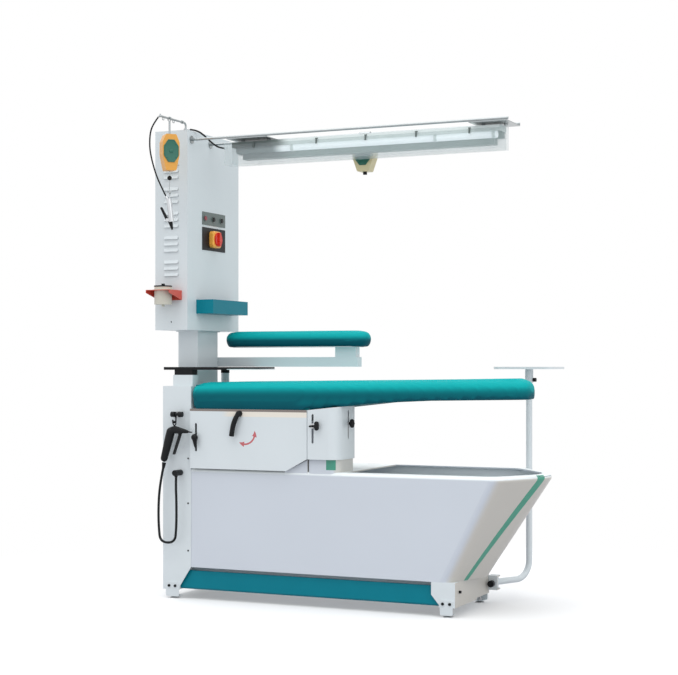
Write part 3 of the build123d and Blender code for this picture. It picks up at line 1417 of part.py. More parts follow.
with BuildPart() as spray_gun:
    head_z = spray_head[0][1]
    head_end = at(spray_head[1][0], spray_y, head_z)
    round_bar(at(spray_head[0][0], spray_y, head_z), head_end, spray_head_radius)
    round_bar(head_end, at(spray_nozzle_x, spray_y, head_z), spray_nozzle_radius)
    with BuildSketch(facing_front(0, spray_y + spray_handle_half, 0)) as handle:
        for place, radius in zip(spray_handle, spray_handle_radii):
            with Locations(place):
                Circle(radius)
        make_hull()
    extrude(handle.sketch, amount=2 * spray_handle_half)
    round_bar(at(spray_handle[1][0], spray_y, spray_handle[1][1]), at(spray_tail[0], spray_y, spray_tail[1]),
              spray_tail_radius)
    with Locations(Plane(origin=at(spray_ring[0], spray_y, spray_ring[1]), z_dir=(0, 1, 0))):
        Torus(spray_ring_radius, spray_ring_wire)
    round_bar(at(spray_ring[0], spray_y, head_z),
              at(spray_ring[0], spray_y, spray_ring[1] - spray_ring_radius), 2 * spray_ring_wire)
    for y in (spray_y - trigger_ear, spray_y + trigger_ear - sheet):
        block((trigger_pivot[0] - trigger_ear, trigger_pivot[0] + trigger_ear), (y, y + sheet),
              (trigger_pivot[1] - trigger_ear / 2, head_z))
    round_bar(at(trigger_pivot[0], spray_y - trigger_ear, trigger_pivot[1]),
              at(trigger_pivot[0], spray_y + trigger_ear, trigger_pivot[1]), trigger_pin)
keep(spray_gun.part, "spray_gun")

with BuildPart() as spray_gun_trigger:
    with BuildSketch(facing_front(0, spray_y + trigger_half, 0)) as lever:
        with Locations(trigger_pivot):
            Circle(trigger_pin + trigger_skin / 2)
        with Locations(trigger_tip):
            Circle(trigger_skin)
        make_hull()
        with Locations(trigger_pivot):
            Circle(trigger_pin + pin_gap, mode=Mode.SUBTRACT)
    extrude(lever.sketch, amount=2 * trigger_half)
keep(spray_gun_trigger.part, "spray_gun_trigger")

spray_hose_diameter = 10.0
spray_hose_path = [
    (spray_tail[0], spray_y, spray_tail[1]), (12.0, spray_y, 480.0), (3.0, spray_y, 420.0),
    (0.0, spray_y, 350.0), (2.0, spray_y, 285.0), (9.0, spray_y, 228.0), (77.0, spray_y, 228.0),
    (83.0, spray_y, 290.0), (84.0, spray_y, 350.0), (83.0, spray_y, 410.0), (81.0, spray_y, 455.0),
    (socket_x, spray_y, socket_nipple_low),
]
cord(spray_hose_path, spray_hose_diameter, "spray_hose")

# Air inlet and mains gland on the leg cabinet's rear cover, and the gland on the tower
inlet_x = 65.0
inlet_z = 300.0
mains_z = 220.0
inlet_radius_out = 6.0
inlet_reach = 24.0
inlet_hex = 13.0
inlet_hex_thick = 8.0
mains_reach = 18.0
mains_radius = 10.0
with BuildPart() as supply_fittings:
    rear_face = Plane(origin=at(inlet_x, cover_back, inlet_z), x_dir=(1, 0, 0), z_dir=(0, 1, 0))
    with BuildSketch(rear_face) as nut:
        RegularPolygon(inlet_hex, 6)
    extrude(nut.sketch, amount=inlet_hex_thick)
    round_bar(at(inlet_x, cover_back, inlet_z),
              at(inlet_x, cover_back + inlet_hex_thick + inlet_reach, inlet_z), inlet_radius_out)
    round_bar(at(inlet_x, cover_back, mains_z), at(inlet_x, cover_back + mains_reach, mains_z), mains_radius)
    round_bar(at(*elbow, tower_top), at(*elbow, elbow_z), cable_gland)
    with Locations(at(*elbow, elbow_z)):
        Sphere(cable_gland)
    round_bar(at(*elbow, elbow_z), at(*elbow_end, elbow_z), cable_gland - slide_gap)
keep(supply_fittings.part, "supply_fittings")

# Side pole: barrel on the frame's pin, bent tube, and the knob that clamps it
barrel_radius = 14.0
pole_bend = 72.0
pole_top = 912.0
with BuildPart() as side_pole:
    pipe_run([at(pivot_x, pivot_y, pole_low), at(pole_x, pole_y, pole_low), at(pole_x, pole_y, pole_top)],
             pole_bend, pole_radius)
    round_bar(at(pivot_x, pivot_y, barrel_low), at(pivot_x, pivot_y, barrel_top), barrel_radius)
    round_bar(at(pivot_x, pivot_y, barrel_low - overrun), at(pivot_x, pivot_y, barrel_top + overrun),
              pole_pin_radius + pin_gap, Mode.SUBTRACT)
keep(side_pole.part, "side_pole")

clamp_knob_radius = 13.0
clamp_knob_half = 9.0
clamp_knob_y = 396.0
with BuildPart() as pole_clamp_knob:
    round_bar(at(pivot_x, clamp_knob_y - clamp_knob_half, clamp_z),
              at(pivot_x, clamp_knob_y + clamp_knob_half, clamp_z), clamp_knob_radius)
    round_bar(at(pivot_x, clamp_knob_y, clamp_z), at(pivot_x, pivot_y - barrel_radius - soft_gap, clamp_z),
              stud_radius)
keep(pole_clamp_knob.part, "pole_clamp_knob")

# Side tray on the pole: collar, rounded tray with a low rim, and its knob
tray_thick = 9.0
tray_rim = 4.0
tray_floor = 4.0
tray_corner = 30.0
collar_radius = 16.5
collar_low = 868.0
knob_z = 880.0
tray_knob_radius = 8.0
tray_knob_length = 12.0
tray_stud_radius = 3.0
with BuildPart() as side_tray:
    tray_low = tray_z - tray_thick / 2
    with BuildSketch(level(tray_low, pole_x, pole_y)) as tray_plan:
        RectangleRounded(tray_length, tray_width, tray_corner)
    extrude(tray_plan.sketch, amount=tray_thick)
    with BuildSketch(level(tray_low + tray_floor, pole_x, pole_y)) as tray_inside:
        RectangleRounded(tray_length - 2 * tray_rim, tray_width - 2 * tray_rim, tray_corner - tray_rim)
    extrude(tray_inside.sketch, amount=tray_thick, mode=Mode.SUBTRACT)
    round_bar(at(pole_x, pole_y, collar_low), at(pole_x, pole_y, tray_low), collar_radius)
    round_bar(at(pole_x, pole_y, collar_low - overrun), at(pole_x, pole_y, pole_top + slide_gap),
              pole_radius + pin_gap, Mode.SUBTRACT)
    round_bar(at(pole_x, pole_y, knob_z), at(pole_x + collar_radius + overrun, pole_y, knob_z),
              tray_stud_radius + pin_gap, Mode.SUBTRACT)
keep(side_tray.part, "side_tray")

with BuildPart() as tray_knob:
    round_bar(at(pole_x + collar_radius + slide_gap, pole_y, knob_z),
              at(pole_x + collar_radius + slide_gap + tray_knob_length, pole_y, knob_z), tray_knob_radius)
    round_bar(at(pole_x + pole_radius + soft_gap, pole_y, knob_z),
              at(pole_x + collar_radius + tray_knob_length, pole_y, knob_z), tray_stud_radius)
keep(tray_knob.part, "tray_knob")
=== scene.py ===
# %% [markdown]
# # A vacuum ironing table
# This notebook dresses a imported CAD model: a steel table with a moulded catch basin, a padded
# board, a control tower, a lamp on two rods and tools that hang on balancers. The hard parts
# are already there as CAD nodes. What is added here is what a CAD program does not make well:
# soft pads, hoses, rounded handles and, above all, finishes. A few small pieces that the CAD
# model lacks, such as the mat and the lamp's clips, are made here too. One small photograph
# leaves much to guess, and the main guesses are named where they are made.

# %% Load the frame
import bmesh
import bpy
import json
import math
from mathutils import Matrix, Vector


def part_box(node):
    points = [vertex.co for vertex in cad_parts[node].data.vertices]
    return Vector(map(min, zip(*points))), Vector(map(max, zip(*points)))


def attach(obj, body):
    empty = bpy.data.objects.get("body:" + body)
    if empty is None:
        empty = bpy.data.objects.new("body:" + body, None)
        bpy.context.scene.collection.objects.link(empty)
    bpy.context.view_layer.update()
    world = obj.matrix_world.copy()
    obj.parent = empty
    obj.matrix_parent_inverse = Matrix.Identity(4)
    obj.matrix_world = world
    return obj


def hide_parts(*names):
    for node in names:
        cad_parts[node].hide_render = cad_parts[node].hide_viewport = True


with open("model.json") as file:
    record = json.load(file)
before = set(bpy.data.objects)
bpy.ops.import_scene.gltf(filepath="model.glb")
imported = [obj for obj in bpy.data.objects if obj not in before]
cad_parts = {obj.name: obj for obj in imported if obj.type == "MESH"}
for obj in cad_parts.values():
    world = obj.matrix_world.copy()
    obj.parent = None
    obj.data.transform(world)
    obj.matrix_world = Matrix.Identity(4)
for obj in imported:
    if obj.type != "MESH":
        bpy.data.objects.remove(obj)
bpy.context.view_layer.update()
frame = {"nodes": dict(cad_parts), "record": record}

# %% [markdown]
# ## Places
# The table was measured in millimetres from the front left corner of its leg cabinet. One
# helper turns such a place into the frame's metres, so the numbers below read like a drawing.

# %% Places in millimetres
cabinet_corner = Vector(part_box("leg_cabinet")[0])
CABINET_LOW = 36


def place(x, y, z):
    """A point in millimetres from the cabinet's front left corner, z up from the floor."""
    return cabinet_corner + Vector((x, y, z - CABINET_LOW)) / 1000


print("cabinet corner", [round(c, 4) for c in cabinet_corner])

# %% [markdown]
# ## Camera
# The photograph is taken from about waist height, level, with a long lens from the right of
# the board's nose. The horizon lies a little below the picture's middle, so the lens is
# shifted up by a few percent instead of being tilted, which keeps the uprights parallel.

# %% Camera
CAMERA_PLACE = (3224, -5378, 936)
CAMERA_TURN = 24.5
camera_data = bpy.data.cameras.new("photo_camera")
camera_data.sensor_width = 36
camera_data.lens = 81.8
camera_data.shift_x = 0.003
camera_data.shift_y = 0.042
camera_data.clip_end = 60
camera = bpy.data.objects.new("photo_camera", camera_data)
camera.location = place(*CAMERA_PLACE)
camera.rotation_euler = (math.radians(90), 0, math.radians(CAMERA_TURN))
bpy.context.collection.objects.link(camera)
bpy.context.scene.camera = camera

# %% [markdown]
# ## Hoses and the lamp cable
# A hose is one smooth curve, so each is a NURBS spline on the same points as its CAD tube.
# Setting the order after the points are added is what makes the spline smooth. The bevel is one
# metre deep and each point's radius is the hose's own, because Blender adds the points' radius
# to a curve's box, and a radius of 1 would make that box two metres too big.

# %% A hose from its points
AIR_HOSE = [(116, -229, 1901), (91, -226, 1876), (73, -220, 1843), (65, -210, 1787),
            (68, -198, 1741), (78, -186, 1689), (92, -173, 1644), (109, -159, 1601)]
LAMP_CABLE = [(126, -3, 1884), (150, 16, 1882), (176, 36, 1858), (200, 53, 1830),
              (222, 66, 1814), (245, 69, 1811)]
SPRAY_HOSE = [(24, -36, 534), (12, -36, 480), (3, -36, 420), (0, -36, 350), (2, -36, 285),
              (9, -36, 228), (77, -36, 228), (83, -36, 290), (84, -36, 350), (83, -36, 410),
              (81, -36, 455), (82, -36, 492)]


def spline(name, points, radius=0.0, radii=None):
    """A smooth curve through places in millimetres, with a round section if it has a radius."""
    curve = bpy.data.curves.new(name, "CURVE")
    curve.dimensions = "3D"
    curve.bevel_depth = 1 if radius else 0
    curve.bevel_resolution = 6
    curve.use_fill_caps = radius > 0
    line = curve.splines.new("NURBS")
    line.points.add(len(points) - 1)
    for knot, point, share in zip(line.points, points, radii or [1] * len(points)):
        knot.co = (*place(*point), 1)
        knot.radius = share * max(radius, 0.001)
    line.order_u = 3
    line.use_endpoint_u = True
    line.resolution_u = 12
    piece = bpy.data.objects.new(name, curve)
    bpy.context.collection.objects.link(piece)
    return piece


def length_of(points):
    """The length of the bare line on these points."""
    ruler = spline("ruler", points)
    mesh = bpy.data.meshes.new_from_object(ruler)
    total = sum((mesh.vertices[e.vertices[0]].co - mesh.vertices[e.vertices[1]].co).length
                for e in mesh.edges)
    bpy.data.objects.remove(ruler)
    bpy.data.meshes.remove(mesh)
    return total


def hose(name, points, diameter, node):
    """A round hose along a smooth spline, which stands for its CAD tube."""
    piece = spline(name, points, diameter / 2)
    length = length_of(points)
    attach(piece, "stand")
    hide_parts(node)
    tuple(place(*points[0]))
    print(name, "length", round(length, 3))
    return piece


air_hose = hose("air_hose_tube", AIR_HOSE, 0.006, "air_hose")
lamp_cable = hose("lamp_cable_tube", LAMP_CABLE, 0.007, "lamp_cable")
spray_hose = hose("spray_hose_tube", SPRAY_HOSE, 0.010, "spray_hose")

# %% [markdown]
# ## Shader maths
# A finish is a few numbers that vary over the surface. Writing them as plain Python
# expressions is easier to read than a list of links, so a small class wraps a node's socket
# and turns each operator into a Math node.

# %% Sockets that work like numbers
class Amount:
    def __init__(self, paint, socket):
        self.paint = paint
        self.socket = socket

    def maths(self, operation, *values):
        return self.paint.node("ShaderNodeMath", {"operation": operation},
                               dict(enumerate(values)))

    def __add__(self, other):
        return self.maths("ADD", self, other)

    def __sub__(self, other):
        return self.maths("SUBTRACT", self, other)

    def __rsub__(self, other):
        return self.maths("SUBTRACT", other, self)

    def __mul__(self, other):
        return self.maths("MULTIPLY", self, other)

    def __pow__(self, other):
        return self.maths("POWER", self, other)

    def capped(self):
        return self.maths("MINIMUM", self.maths("MAXIMUM", self, 0), 1)

    def __abs__(self):
        return self.maths("ABSOLUTE", self)

    def __gt__(self, other):
        return self.maths("GREATER_THAN", self, other)

    def __lt__(self, other):
        return self.maths("LESS_THAN", self, other)

    __radd__ = __add__
    __rmul__ = __mul__


class Paint:
    """A material on one Principled shader, built node by node."""

    def __init__(self, name, colour, roughness, metallic=0.0, **constants):
        self.material = bpy.data.materials.new(name)
        self.material.use_nodes = True
        self.tree = self.material.node_tree
        self.shader = self.tree.nodes["Principled BSDF"]
        self.shader.inputs["Base Color"].default_value = (*colour, 1)
        self.shader.inputs["Roughness"].default_value = roughness
        self.shader.inputs["Metallic"].default_value = metallic
        for key, value in constants.items():
            self.shader.inputs[key.replace("_", " ")].default_value = value

    def node(self, kind, settings=None, inputs=None, output=0):
        made = self.tree.nodes.new(kind)
        for key, value in (settings or {}).items():
            setattr(made, key, value)
        for key, value in (inputs or {}).items():
            if isinstance(value, Amount):
                self.tree.links.new(value.socket, made.inputs[key])
            else:
                made.inputs[key].default_value = value
        return Amount(self, made.outputs[output])

    def where(self):
        return self.node("ShaderNodeTexCoord", output="Object")

    def along(self, axis):
        return self.node("ShaderNodeSeparateXYZ", None, {0: self.where()}, axis)

    def at(self, origin=(0, 0, 0)):
        """The three distances in millimetres from a place, as three numbers."""
        start = place(*origin)
        return [(self.along(axis) - start[axis]) * 1000 for axis in range(3)]

    def facing(self, axis):
        """How far the surface faces along an axis, from -1 to 1."""
        normal = self.node("ShaderNodeNewGeometry", output="Normal")
        return self.node("ShaderNodeSeparateXYZ", None, {0: normal}, axis)

    def noise(self, scale, detail):
        return self.node("ShaderNodeTexNoise", None,
                         {"Vector": self.where(), "Scale": scale, "Detail": detail})

    def mix(self, factor, low, high):
        """The low colour where the factor is 0 and the high colour where it is 1."""
        low = low if isinstance(low, Amount) else (*low, 1)
        high = high if isinstance(high, Amount) else (*high, 1)
        return self.node("ShaderNodeMix", {"data_type": "RGBA"}, {0: factor, 6: low, 7: high},
                         2)

    def ramp(self, factor, low, high):
        """Climbs smoothly from 0 where the factor is low to 1 where it is high."""
        return self.node("ShaderNodeMapRange", {"interpolation_type": "SMOOTHSTEP"},
                         {"Value": factor, "From Min": low, "From Max": high})

    def feed(self, socket, value):
        self.tree.links.new(value.socket, self.shader.inputs[socket])
        return self

    def bump(self, height, strength, distance):
        self.feed("Normal", self.node("ShaderNodeBump", None,
                  {"Height": height, "Strength": strength, "Distance": distance}))


def srgb(code):
    """A colour written as on the web, as the linear numbers that a shader takes."""
    parts = [int(code[i:i + 2], 16) / 255 for i in (0, 2, 4)]
    return tuple(c / 12.92 if c <= 0.04045 else ((c + 0.055) / 1.055) ** 2.4 for c in parts)


def shade(colour, share):
    """The colour made darker or lighter by a share."""
    return tuple(min(1, c * share) for c in colour)


# %% [markdown]
# ## Finishes
# Powder coat is smooth with a faint orange peel. Quite even paint looks unreal, so large soft
# patches are a little darker and a grey film gathers near the floor. Both are made up: no
# wear can be made out in the photograph. The same recipe serves every painted sheet, with
# its own colour and gloss.

# %% Painted sheet
FILM_HEIGHT = 260
FILM_SHADE = 0.62
FILM_DULLS = 0.5
GLOSS_SPREAD = 0.12
ORANGE_PEEL = 0.10
FINE_GRAIN = 0.0004


def base_coat(name, colour, roughness=0.36, patch=0.03, film=0.10, **constants):
    """Paint with soft patches and a grey film low down; the colour is handed on for markings."""
    paint = Paint(name, colour, roughness, **constants)
    high = paint.at()[2]
    patches = paint.mix(paint.noise(3.0, 3.0), shade(colour, 1 - 2 * patch),
                        shade(colour, 1 + patch))
    low = paint.ramp(high, FILM_HEIGHT, 0) * paint.noise(16.0, 4.0) * film * 2
    coat = paint.mix(low, patches, shade(colour, FILM_SHADE))
    paint.feed("Roughness", paint.noise(22.0, 2.0) * GLOSS_SPREAD
               + (roughness - GLOSS_SPREAD / 2) + low * FILM_DULLS)
    paint.bump(paint.noise(900.0, 2.0), ORANGE_PEEL, FINE_GRAIN)
    return paint, coat


def painted(name, colour, roughness=0.36, **settings):
    paint, coat = base_coat(name, colour, roughness, **settings)
    return paint.feed("Base Color", coat).material


WHITE = srgb("DFE6E8")
finishes = {
    "white_paint": painted("powder_coat_white", WHITE),
    "teal_paint": painted("powder_coat_teal", srgb("007F90"), film=0.18,
                          Specular_IOR_Level=0.15),
    "red_paint": painted("powder_coat_red", srgb("D2503F")),
    "plate_grey": painted("plate_grey", srgb("66716E"), 0.42),
    "balancer_orange": painted("enamel_orange", srgb("EDA83F"), 0.30, patch=0.05),
    "balancer_green": painted("enamel_green", srgb("1F6A58"), 0.34, patch=0.06),
    "balancer_cream": painted("enamel_cream", srgb("E0D3A6"), 0.34, patch=0.05),
    "black_enamel": painted("black_enamel", srgb("14171A"), 0.38, patch=0.08,
                            Specular_IOR_Level=0.2),
    "fan_grey": painted("fan_grey", srgb("5A6064"), 0.5),
}

# %% [markdown]
# ### A marking on the housing
# A red arrow with two heads shows which ways the changeover lever turns. It is printed on the
# paint, so it is part of the finish: the distance and angle from the arrow's middle pick out
# an arc, and a head at either end widens from its point. How uneven its ink is, is a guess.
# Along the top the real front is set back under the pad. The solid is flat there, so the shade
# under the pad is a painted shade, a dark strip, and the light on the lip below it is a painted
# highlight, a cream band.

# %% Housing paint with the arrow
ARROW_MIDDLE = (380, 0, 672)
ARROW_RADIUS = 44
ARROW_ENDS = (-95, -17)
ARROW_HEAD = 30
ARROW_HALF = 3.4
HEAD_SPREAD = 0.34
FRONT = -0.9
SHADE_STRIP_LOW, HIGHLIGHT_BAND_LOW = 756, 736
HIGHLIGHT_BAND_FADE = (-110, -60)


def housing_paint():
    paint, coat = base_coat("powder_coat_housing", WHITE)
    across, _, high = paint.at(ARROW_MIDDLE)
    front = paint.facing(1) < FRONT
    radius = (across * across + high * high) ** 0.5
    angle = high.maths("ARCTAN2", high, across) * (180 / math.pi)
    off_line = abs(radius - ARROW_RADIUS)
    shaft = (angle > ARROW_ENDS[0]) * (angle < ARROW_ENDS[1]) * (off_line < ARROW_HALF)
    to_start = angle - (ARROW_ENDS[0] - ARROW_HEAD)
    to_end = (ARROW_ENDS[1] + ARROW_HEAD) - angle
    heads = [(gap > 0) * (gap < ARROW_HEAD + 1) * (off_line < gap * HEAD_SPREAD)
             for gap in (to_start, to_end)]
    mark = (shaft + heads[0] + heads[1]).capped() * front
    worn = mark * (paint.noise(420.0, 2.0) * 0.25 + 0.78).capped()
    level = high + ARROW_MIDDLE[2]
    # Painted highlight: a cream band on the lip under the pad. Painted shade: a dark strip above
    # it.
    painted_lip_highlight = (level > HIGHLIGHT_BAND_LOW) * front * paint.ramp(across, *HIGHLIGHT_BAND_FADE)
    painted_recess_shade = (level > SHADE_STRIP_LOW) * front
    coat = paint.mix(painted_recess_shade, paint.mix(painted_lip_highlight, coat, srgb("EFE7DA")), srgb("867C76"))
    return paint.feed("Base Color", paint.mix(worn, coat, srgb("C2454A"))).material


def frame_paint():
    """White paint, with a painted warm shade on the faces turned towards the nose."""
    paint, coat = base_coat("powder_coat_frame", WHITE)
    # Painted shade: faces turned towards the nose get a darker, warmer white.
    warm_shade = paint.ramp(paint.facing(0), 0.3, 0.9)
    return paint.feed("Base Color", paint.mix(warm_shade, coat, srgb("CCC8BF"))).material


finishes["housing_paint"] = housing_paint()
finishes["frame_paint"] = frame_paint()

# %% [markdown]
# ### The moulded basin
# The basin is moulded in one piece. It is given a softer gloss than the paint and a slight
# waviness, as thick moulded walls often have. Its nose is painted darker and warmer than its
# front, which is painted shade, and its upward faces paler, which is painted light. Whether
# that is the plastic or the light can't be told, so both tints are a guess. Two green marks
# belong to it: a stripe that runs down its nose from the rim, and a small patch on its neck.

# %% Moulded basin
STRIPE_FOOT = (1272, 98, 150)
STRIPE_LEAN = 0.30
STRIPE_HALF = 13
STRIPE_WIDENS = 0.016
STRIPE_FACES = 0.3
STRIPE_FRONT = -60
PATCH_MIDDLE = (745, 0, 563)
PATCH_HALF = (19, 28)
PATCH_DEPTH = 40
NOSE_SHADE_RAMP = (0.25, 0.7)
UPWARD_LIGHT_RAMP = (-0.15, 0.5)


def moulded_basin():
    colour = srgb("CFD5DE")
    paint = Paint("moulded_basin", colour, 0.34)
    shell = paint.mix(paint.noise(2.2, 4.0), shade(colour, 0.93), colour)
    across, deep, high = paint.at(STRIPE_FOOT)
    nose = paint.facing(0)
    # Painted shade: faces turned towards the nose are darker and warmer.
    shell = paint.mix(paint.ramp(nose, *NOSE_SHADE_RAMP), shell, srgb("CBC7BF"))
    # Painted light: upward faces are paler.
    shell = paint.mix(paint.ramp(paint.facing(2), *UPWARD_LIGHT_RAMP), shell, srgb("F3F9F9"))
    edge = paint.noise(60.0, 2.0) * 3 - 1.5
    off_stripe = abs(deep - high * STRIPE_LEAN + edge)
    half = high * STRIPE_WIDENS + STRIPE_HALF
    stripe = (off_stripe < half) * (nose > STRIPE_FACES) * (across > STRIPE_FRONT)
    beside, behind, above = paint.at(PATCH_MIDDLE)
    patch = ((abs(beside) < PATCH_HALF[0]) * (abs(above) < PATCH_HALF[1])
             * (behind < PATCH_DEPTH))
    green = paint.mix(paint.noise(35.0, 3.0), srgb("3E8F78"), srgb("4FA58C"))
    marked = (stripe + patch).capped()
    paint.feed("Base Color", paint.mix(marked, shell, green))
    paint.feed("Roughness", paint.noise(14.0, 3.0) * 0.15 + 0.27)
    paint.bump(paint.noise(9.0, 1.0) + paint.noise(600.0, 1.0) * 0.02, 0.25, 0.002)
    return paint.material


finishes["basin_plastic"] = moulded_basin()

# %% [markdown]
# ### Metals
# Bare and plated metals differ in grain and gloss: the rods are plated bright, the feet are
# dull zinc, and the air gun and the fan's impeller are cast alloy.

# %% Metals
METALS = {
    "zinc_steel": ("zinc_plate", (0.56, 0.57, 0.58), 0.42),
    "rod_chrome": ("bright_plate", (0.40, 0.43, 0.44), 0.26),
    "gun_alloy": ("cast_alloy", (0.62, 0.64, 0.66), 0.33),
    "impeller_alloy": ("impeller_alloy", (0.50, 0.51, 0.53), 0.45),
}
METAL_SPREAD = 0.15


def metal(name, colour, roughness):
    paint = Paint(name, colour, roughness, 1.0)
    speckle = paint.noise(300.0, 3.0)
    paint.feed("Roughness", speckle * METAL_SPREAD + (roughness - METAL_SPREAD / 2))
    paint.feed("Base Color", paint.mix(paint.noise(12.0, 3.0), shade(colour, 0.8), colour))
    paint.bump(speckle, 0.08, FINE_GRAIN)
    return paint.material


for slot_name, settings in METALS.items():
    finishes[slot_name] = metal(*settings)

# %% [markdown]
# ### Plastics and rubber
# Knobs and handles are hard black plastic with a fine grain. Buffers and hoses are rubber,
# which is duller. The trace of grey dust on the rubber is made up.

# %% Plastics and rubber
PLASTICS = {
    "black_plastic": ("knob_plastic", "111315", 0.40),
    "black_rubber": ("buffer_rubber", "101214", 0.62, 0.003),
    "hose_black": ("hose_rubber", "101315", 0.46, 0.002),
    "button_dark": ("button_dark", "0E1012", 0.24),
    "button_red": ("button_red", "8E2A38", 0.28),
    "switch_yellow": ("switch_yellow", "F6B04A", 0.3),
    "switch_red": ("switch_red", "D8301E", 0.28),
    "cup_plastic": ("cup_plastic", "C9C6B8", 0.35),
}
DULL_KINDS = ("black_plastic", "black_rubber", "hose_black", "button_dark")
PLASTIC_SPREAD = 0.14


def plastic(name, code, roughness, dust=0.0, **constants):
    colour = srgb(code)
    paint = Paint(name, colour, roughness, **constants)
    dusty = tuple(c * 1.15 + dust for c in colour)
    paint.feed("Base Color", paint.mix(paint.noise(30.0, 4.0), colour, dusty))
    paint.feed("Roughness", paint.noise(60.0, 2.0) * PLASTIC_SPREAD
               + (roughness - PLASTIC_SPREAD / 2))
    paint.bump(paint.noise(700.0, 2.0), 0.1, FINE_GRAIN)
    return paint.material


for slot_name, settings in PLASTICS.items():
    constants = {"Specular_IOR_Level": 0.2} if slot_name in DULL_KINDS else {}
    finishes[slot_name] = plastic(*settings, **constants)

# %% [markdown]
# ### The lamp
# The lamp's cover is clear plastic. A thin clear wall lets most of the light straight
# through, so it mixes a transparent shader with gloss, which shows the tube behind it. Beside
# the starter gear the tube and its sheet are coloured dark, as painted shade, because what
# stands in front of them there can't be made out.

# %% Clear cover and tube
TUBE_SHADE_ENDS = (470, 530)
SHEET_SHADE_ENDS = (490, 560)


def clear_cover():
    paint = Paint("clear_cover", srgb("DDE9EA"), 0.14, IOR=1.45)
    paint.feed("Alpha", paint.noise(14.0, 2.0) * 0.06 + 0.20)
    return paint.material


def lamp_glass():
    glass = srgb("F2F6F7")
    paint = Paint("tube_glass", glass, 0.25, Emission_Strength=0.45)
    # Painted shade: beside the starter gear the glass is dark grey and gives no light.
    clear = paint.ramp(paint.at()[0], *TUBE_SHADE_ENDS)
    paint.feed("Base Color", paint.mix(clear, srgb("7B8886"), glass))
    paint.feed("Emission Color", paint.mix(clear, (0, 0, 0), (0.9, 0.96, 1)))
    return paint.material


def lamp_steel(name, near, far):
    """Lamp sheet with a painted shade round the starter gear, paler from there to the nose."""
    colour = srgb(near)
    paint = Paint(name, colour, 0.4)
    steel = paint.mix(paint.noise(20.0, 3.0), shade(colour, 0.8), colour)
    # Painted shade: the sheet is darker round the starter gear.
    clear = paint.ramp(paint.at()[0], *SHEET_SHADE_ENDS)
    paint.feed("Base Color", paint.mix(clear, steel, srgb(far)))
    return paint.material


finishes["gear_tray"] = lamp_steel("gear_tray", "5F6B68", "84958F")
finishes["reflector"] = lamp_steel("reflector", "6C7976", "F0F9F6")
finishes["clear_plastic"] = clear_cover()
finishes["tube_glass"] = lamp_glass()

# %% [markdown]
# ### The covers of the pads
# The pads wear a tight cloth cover. Its colour follows the way the cloth faces: it is painted
# light on top and painted shade on the pad's flanks, more than plain light makes it. The fine
# weave and the soft patches are made up, because cloth that is quite even looks like plastic,
# and the photograph is too small to show either.

# %% Woven cover
FLANK_SHADE_TO_TOP_LIGHT = (-0.25, 0.45)
THREADS = 260.0


def woven_cover():
    paint = Paint("woven_cover", srgb("0CB4B4"), 0.6, Specular_IOR_Level=0.12)
    across, down = [paint.node("ShaderNodeTexWave",
                               {"wave_type": "BANDS", "bands_direction": direction},
                               {"Vector": paint.where(), "Scale": THREADS, "Distortion": 0.3})
                    for direction in "XY"]
    cloud = paint.noise(6.0, 4.0)
    # Painted light and shade: the cloth is lighter where it faces up and darker on the flanks.
    upward = paint.ramp(paint.facing(2), *FLANK_SHADE_TO_TOP_LIGHT)
    painted_light_and_shade = paint.mix(upward, srgb("005764"), srgb("00A6A8"))
    tint = paint.mix(cloud * 0.35, painted_light_and_shade, paint.mix(upward, srgb("004C58"), srgb("10BCB8")))
    paint.feed("Base Color", tint)
    paint.bump(across * down + cloud * 0.5, 0.25, 0.0008)
    return paint.material


finishes["pad_teal"] = woven_cover()
print(len(finishes), "finishes")

# %% [markdown]
# ## Dressing the CAD nodes
# Each node takes the finish of its material slot, apart from a few that have one of their own.
# The board's chamber looks like cloth in the photograph, as if the cover's hem were laced
# round it, so it has the cover's finish. Some nodes were bent or bolted from more than one
# stock, so their faces are sorted by where they lie, in millimetres.

# %% Dress the nodes
NODE_FINISH = {"board_housing": "housing_paint", "base_frame": "frame_paint",
               "board_chamber": "pad_teal", "lamp_gear_tray": "gear_tray",
               "lamp_reflector": "reflector", "iron_balancer": "balancer_cream"}
CASE_HEIGHTS = (1699, 1843)
BALL_HEIGHTS = (1661, 1683)
OTHER_BELOW = {"control_plates": ("black_enamel", 1502),
               "iron_balancer": ("black_plastic", 1693.5),
               "air_gun": ("black_plastic", 1497)}
BOLT_HEIGHTS = (730, 755)
BOLT_FRONT = -7

for part in frame["record"]["subparts"]:
    node = frame["nodes"][part["node"]]
    finish = finishes[NODE_FINISH.get(part["node"], part["material_slot"])]
    node.data.materials.clear()
    node.data.materials.append(finish)


def sort_faces(name, others, pick):
    """Gives the faces for which pick(x, y, z) is 1, 2, and so on the other finishes."""
    node = frame["nodes"][name]
    for other in others:
        node.data.materials.append(finishes[other])
    for face in node.data.polygons:
        spot = (node.matrix_world @ face.center - place(0, 0, 0)) * 1000
        face.material_index = pick(*spot)
    print(name, "has", 1 + len(others), "finishes")


def balancer_stock(x, y, z):
    """Orange case, bright ring and stem, black ball."""
    if CASE_HEIGHTS[0] < z < CASE_HEIGHTS[1]:
        return 0
    return 2 if BALL_HEIGHTS[0] < z < BALL_HEIGHTS[1] else 1


def bolt_stock(x, y, z):
    return int(y > BOLT_FRONT and BOLT_HEIGHTS[0] < z < BOLT_HEIGHTS[1])


sort_faces("tool_balancer", ["rod_chrome", "black_rubber"], balancer_stock)
for name, (other, height) in OTHER_BELOW.items():
    sort_faces(name, [other], lambda x, y, z: int(z < height))
sort_faces("front_fittings", ["zinc_steel"], bolt_stock)

# %% [markdown]
# Folded sheet and moulded edges are never sharp. A small bevel on the nodes that show long
# straight folds catches a line of light along them.

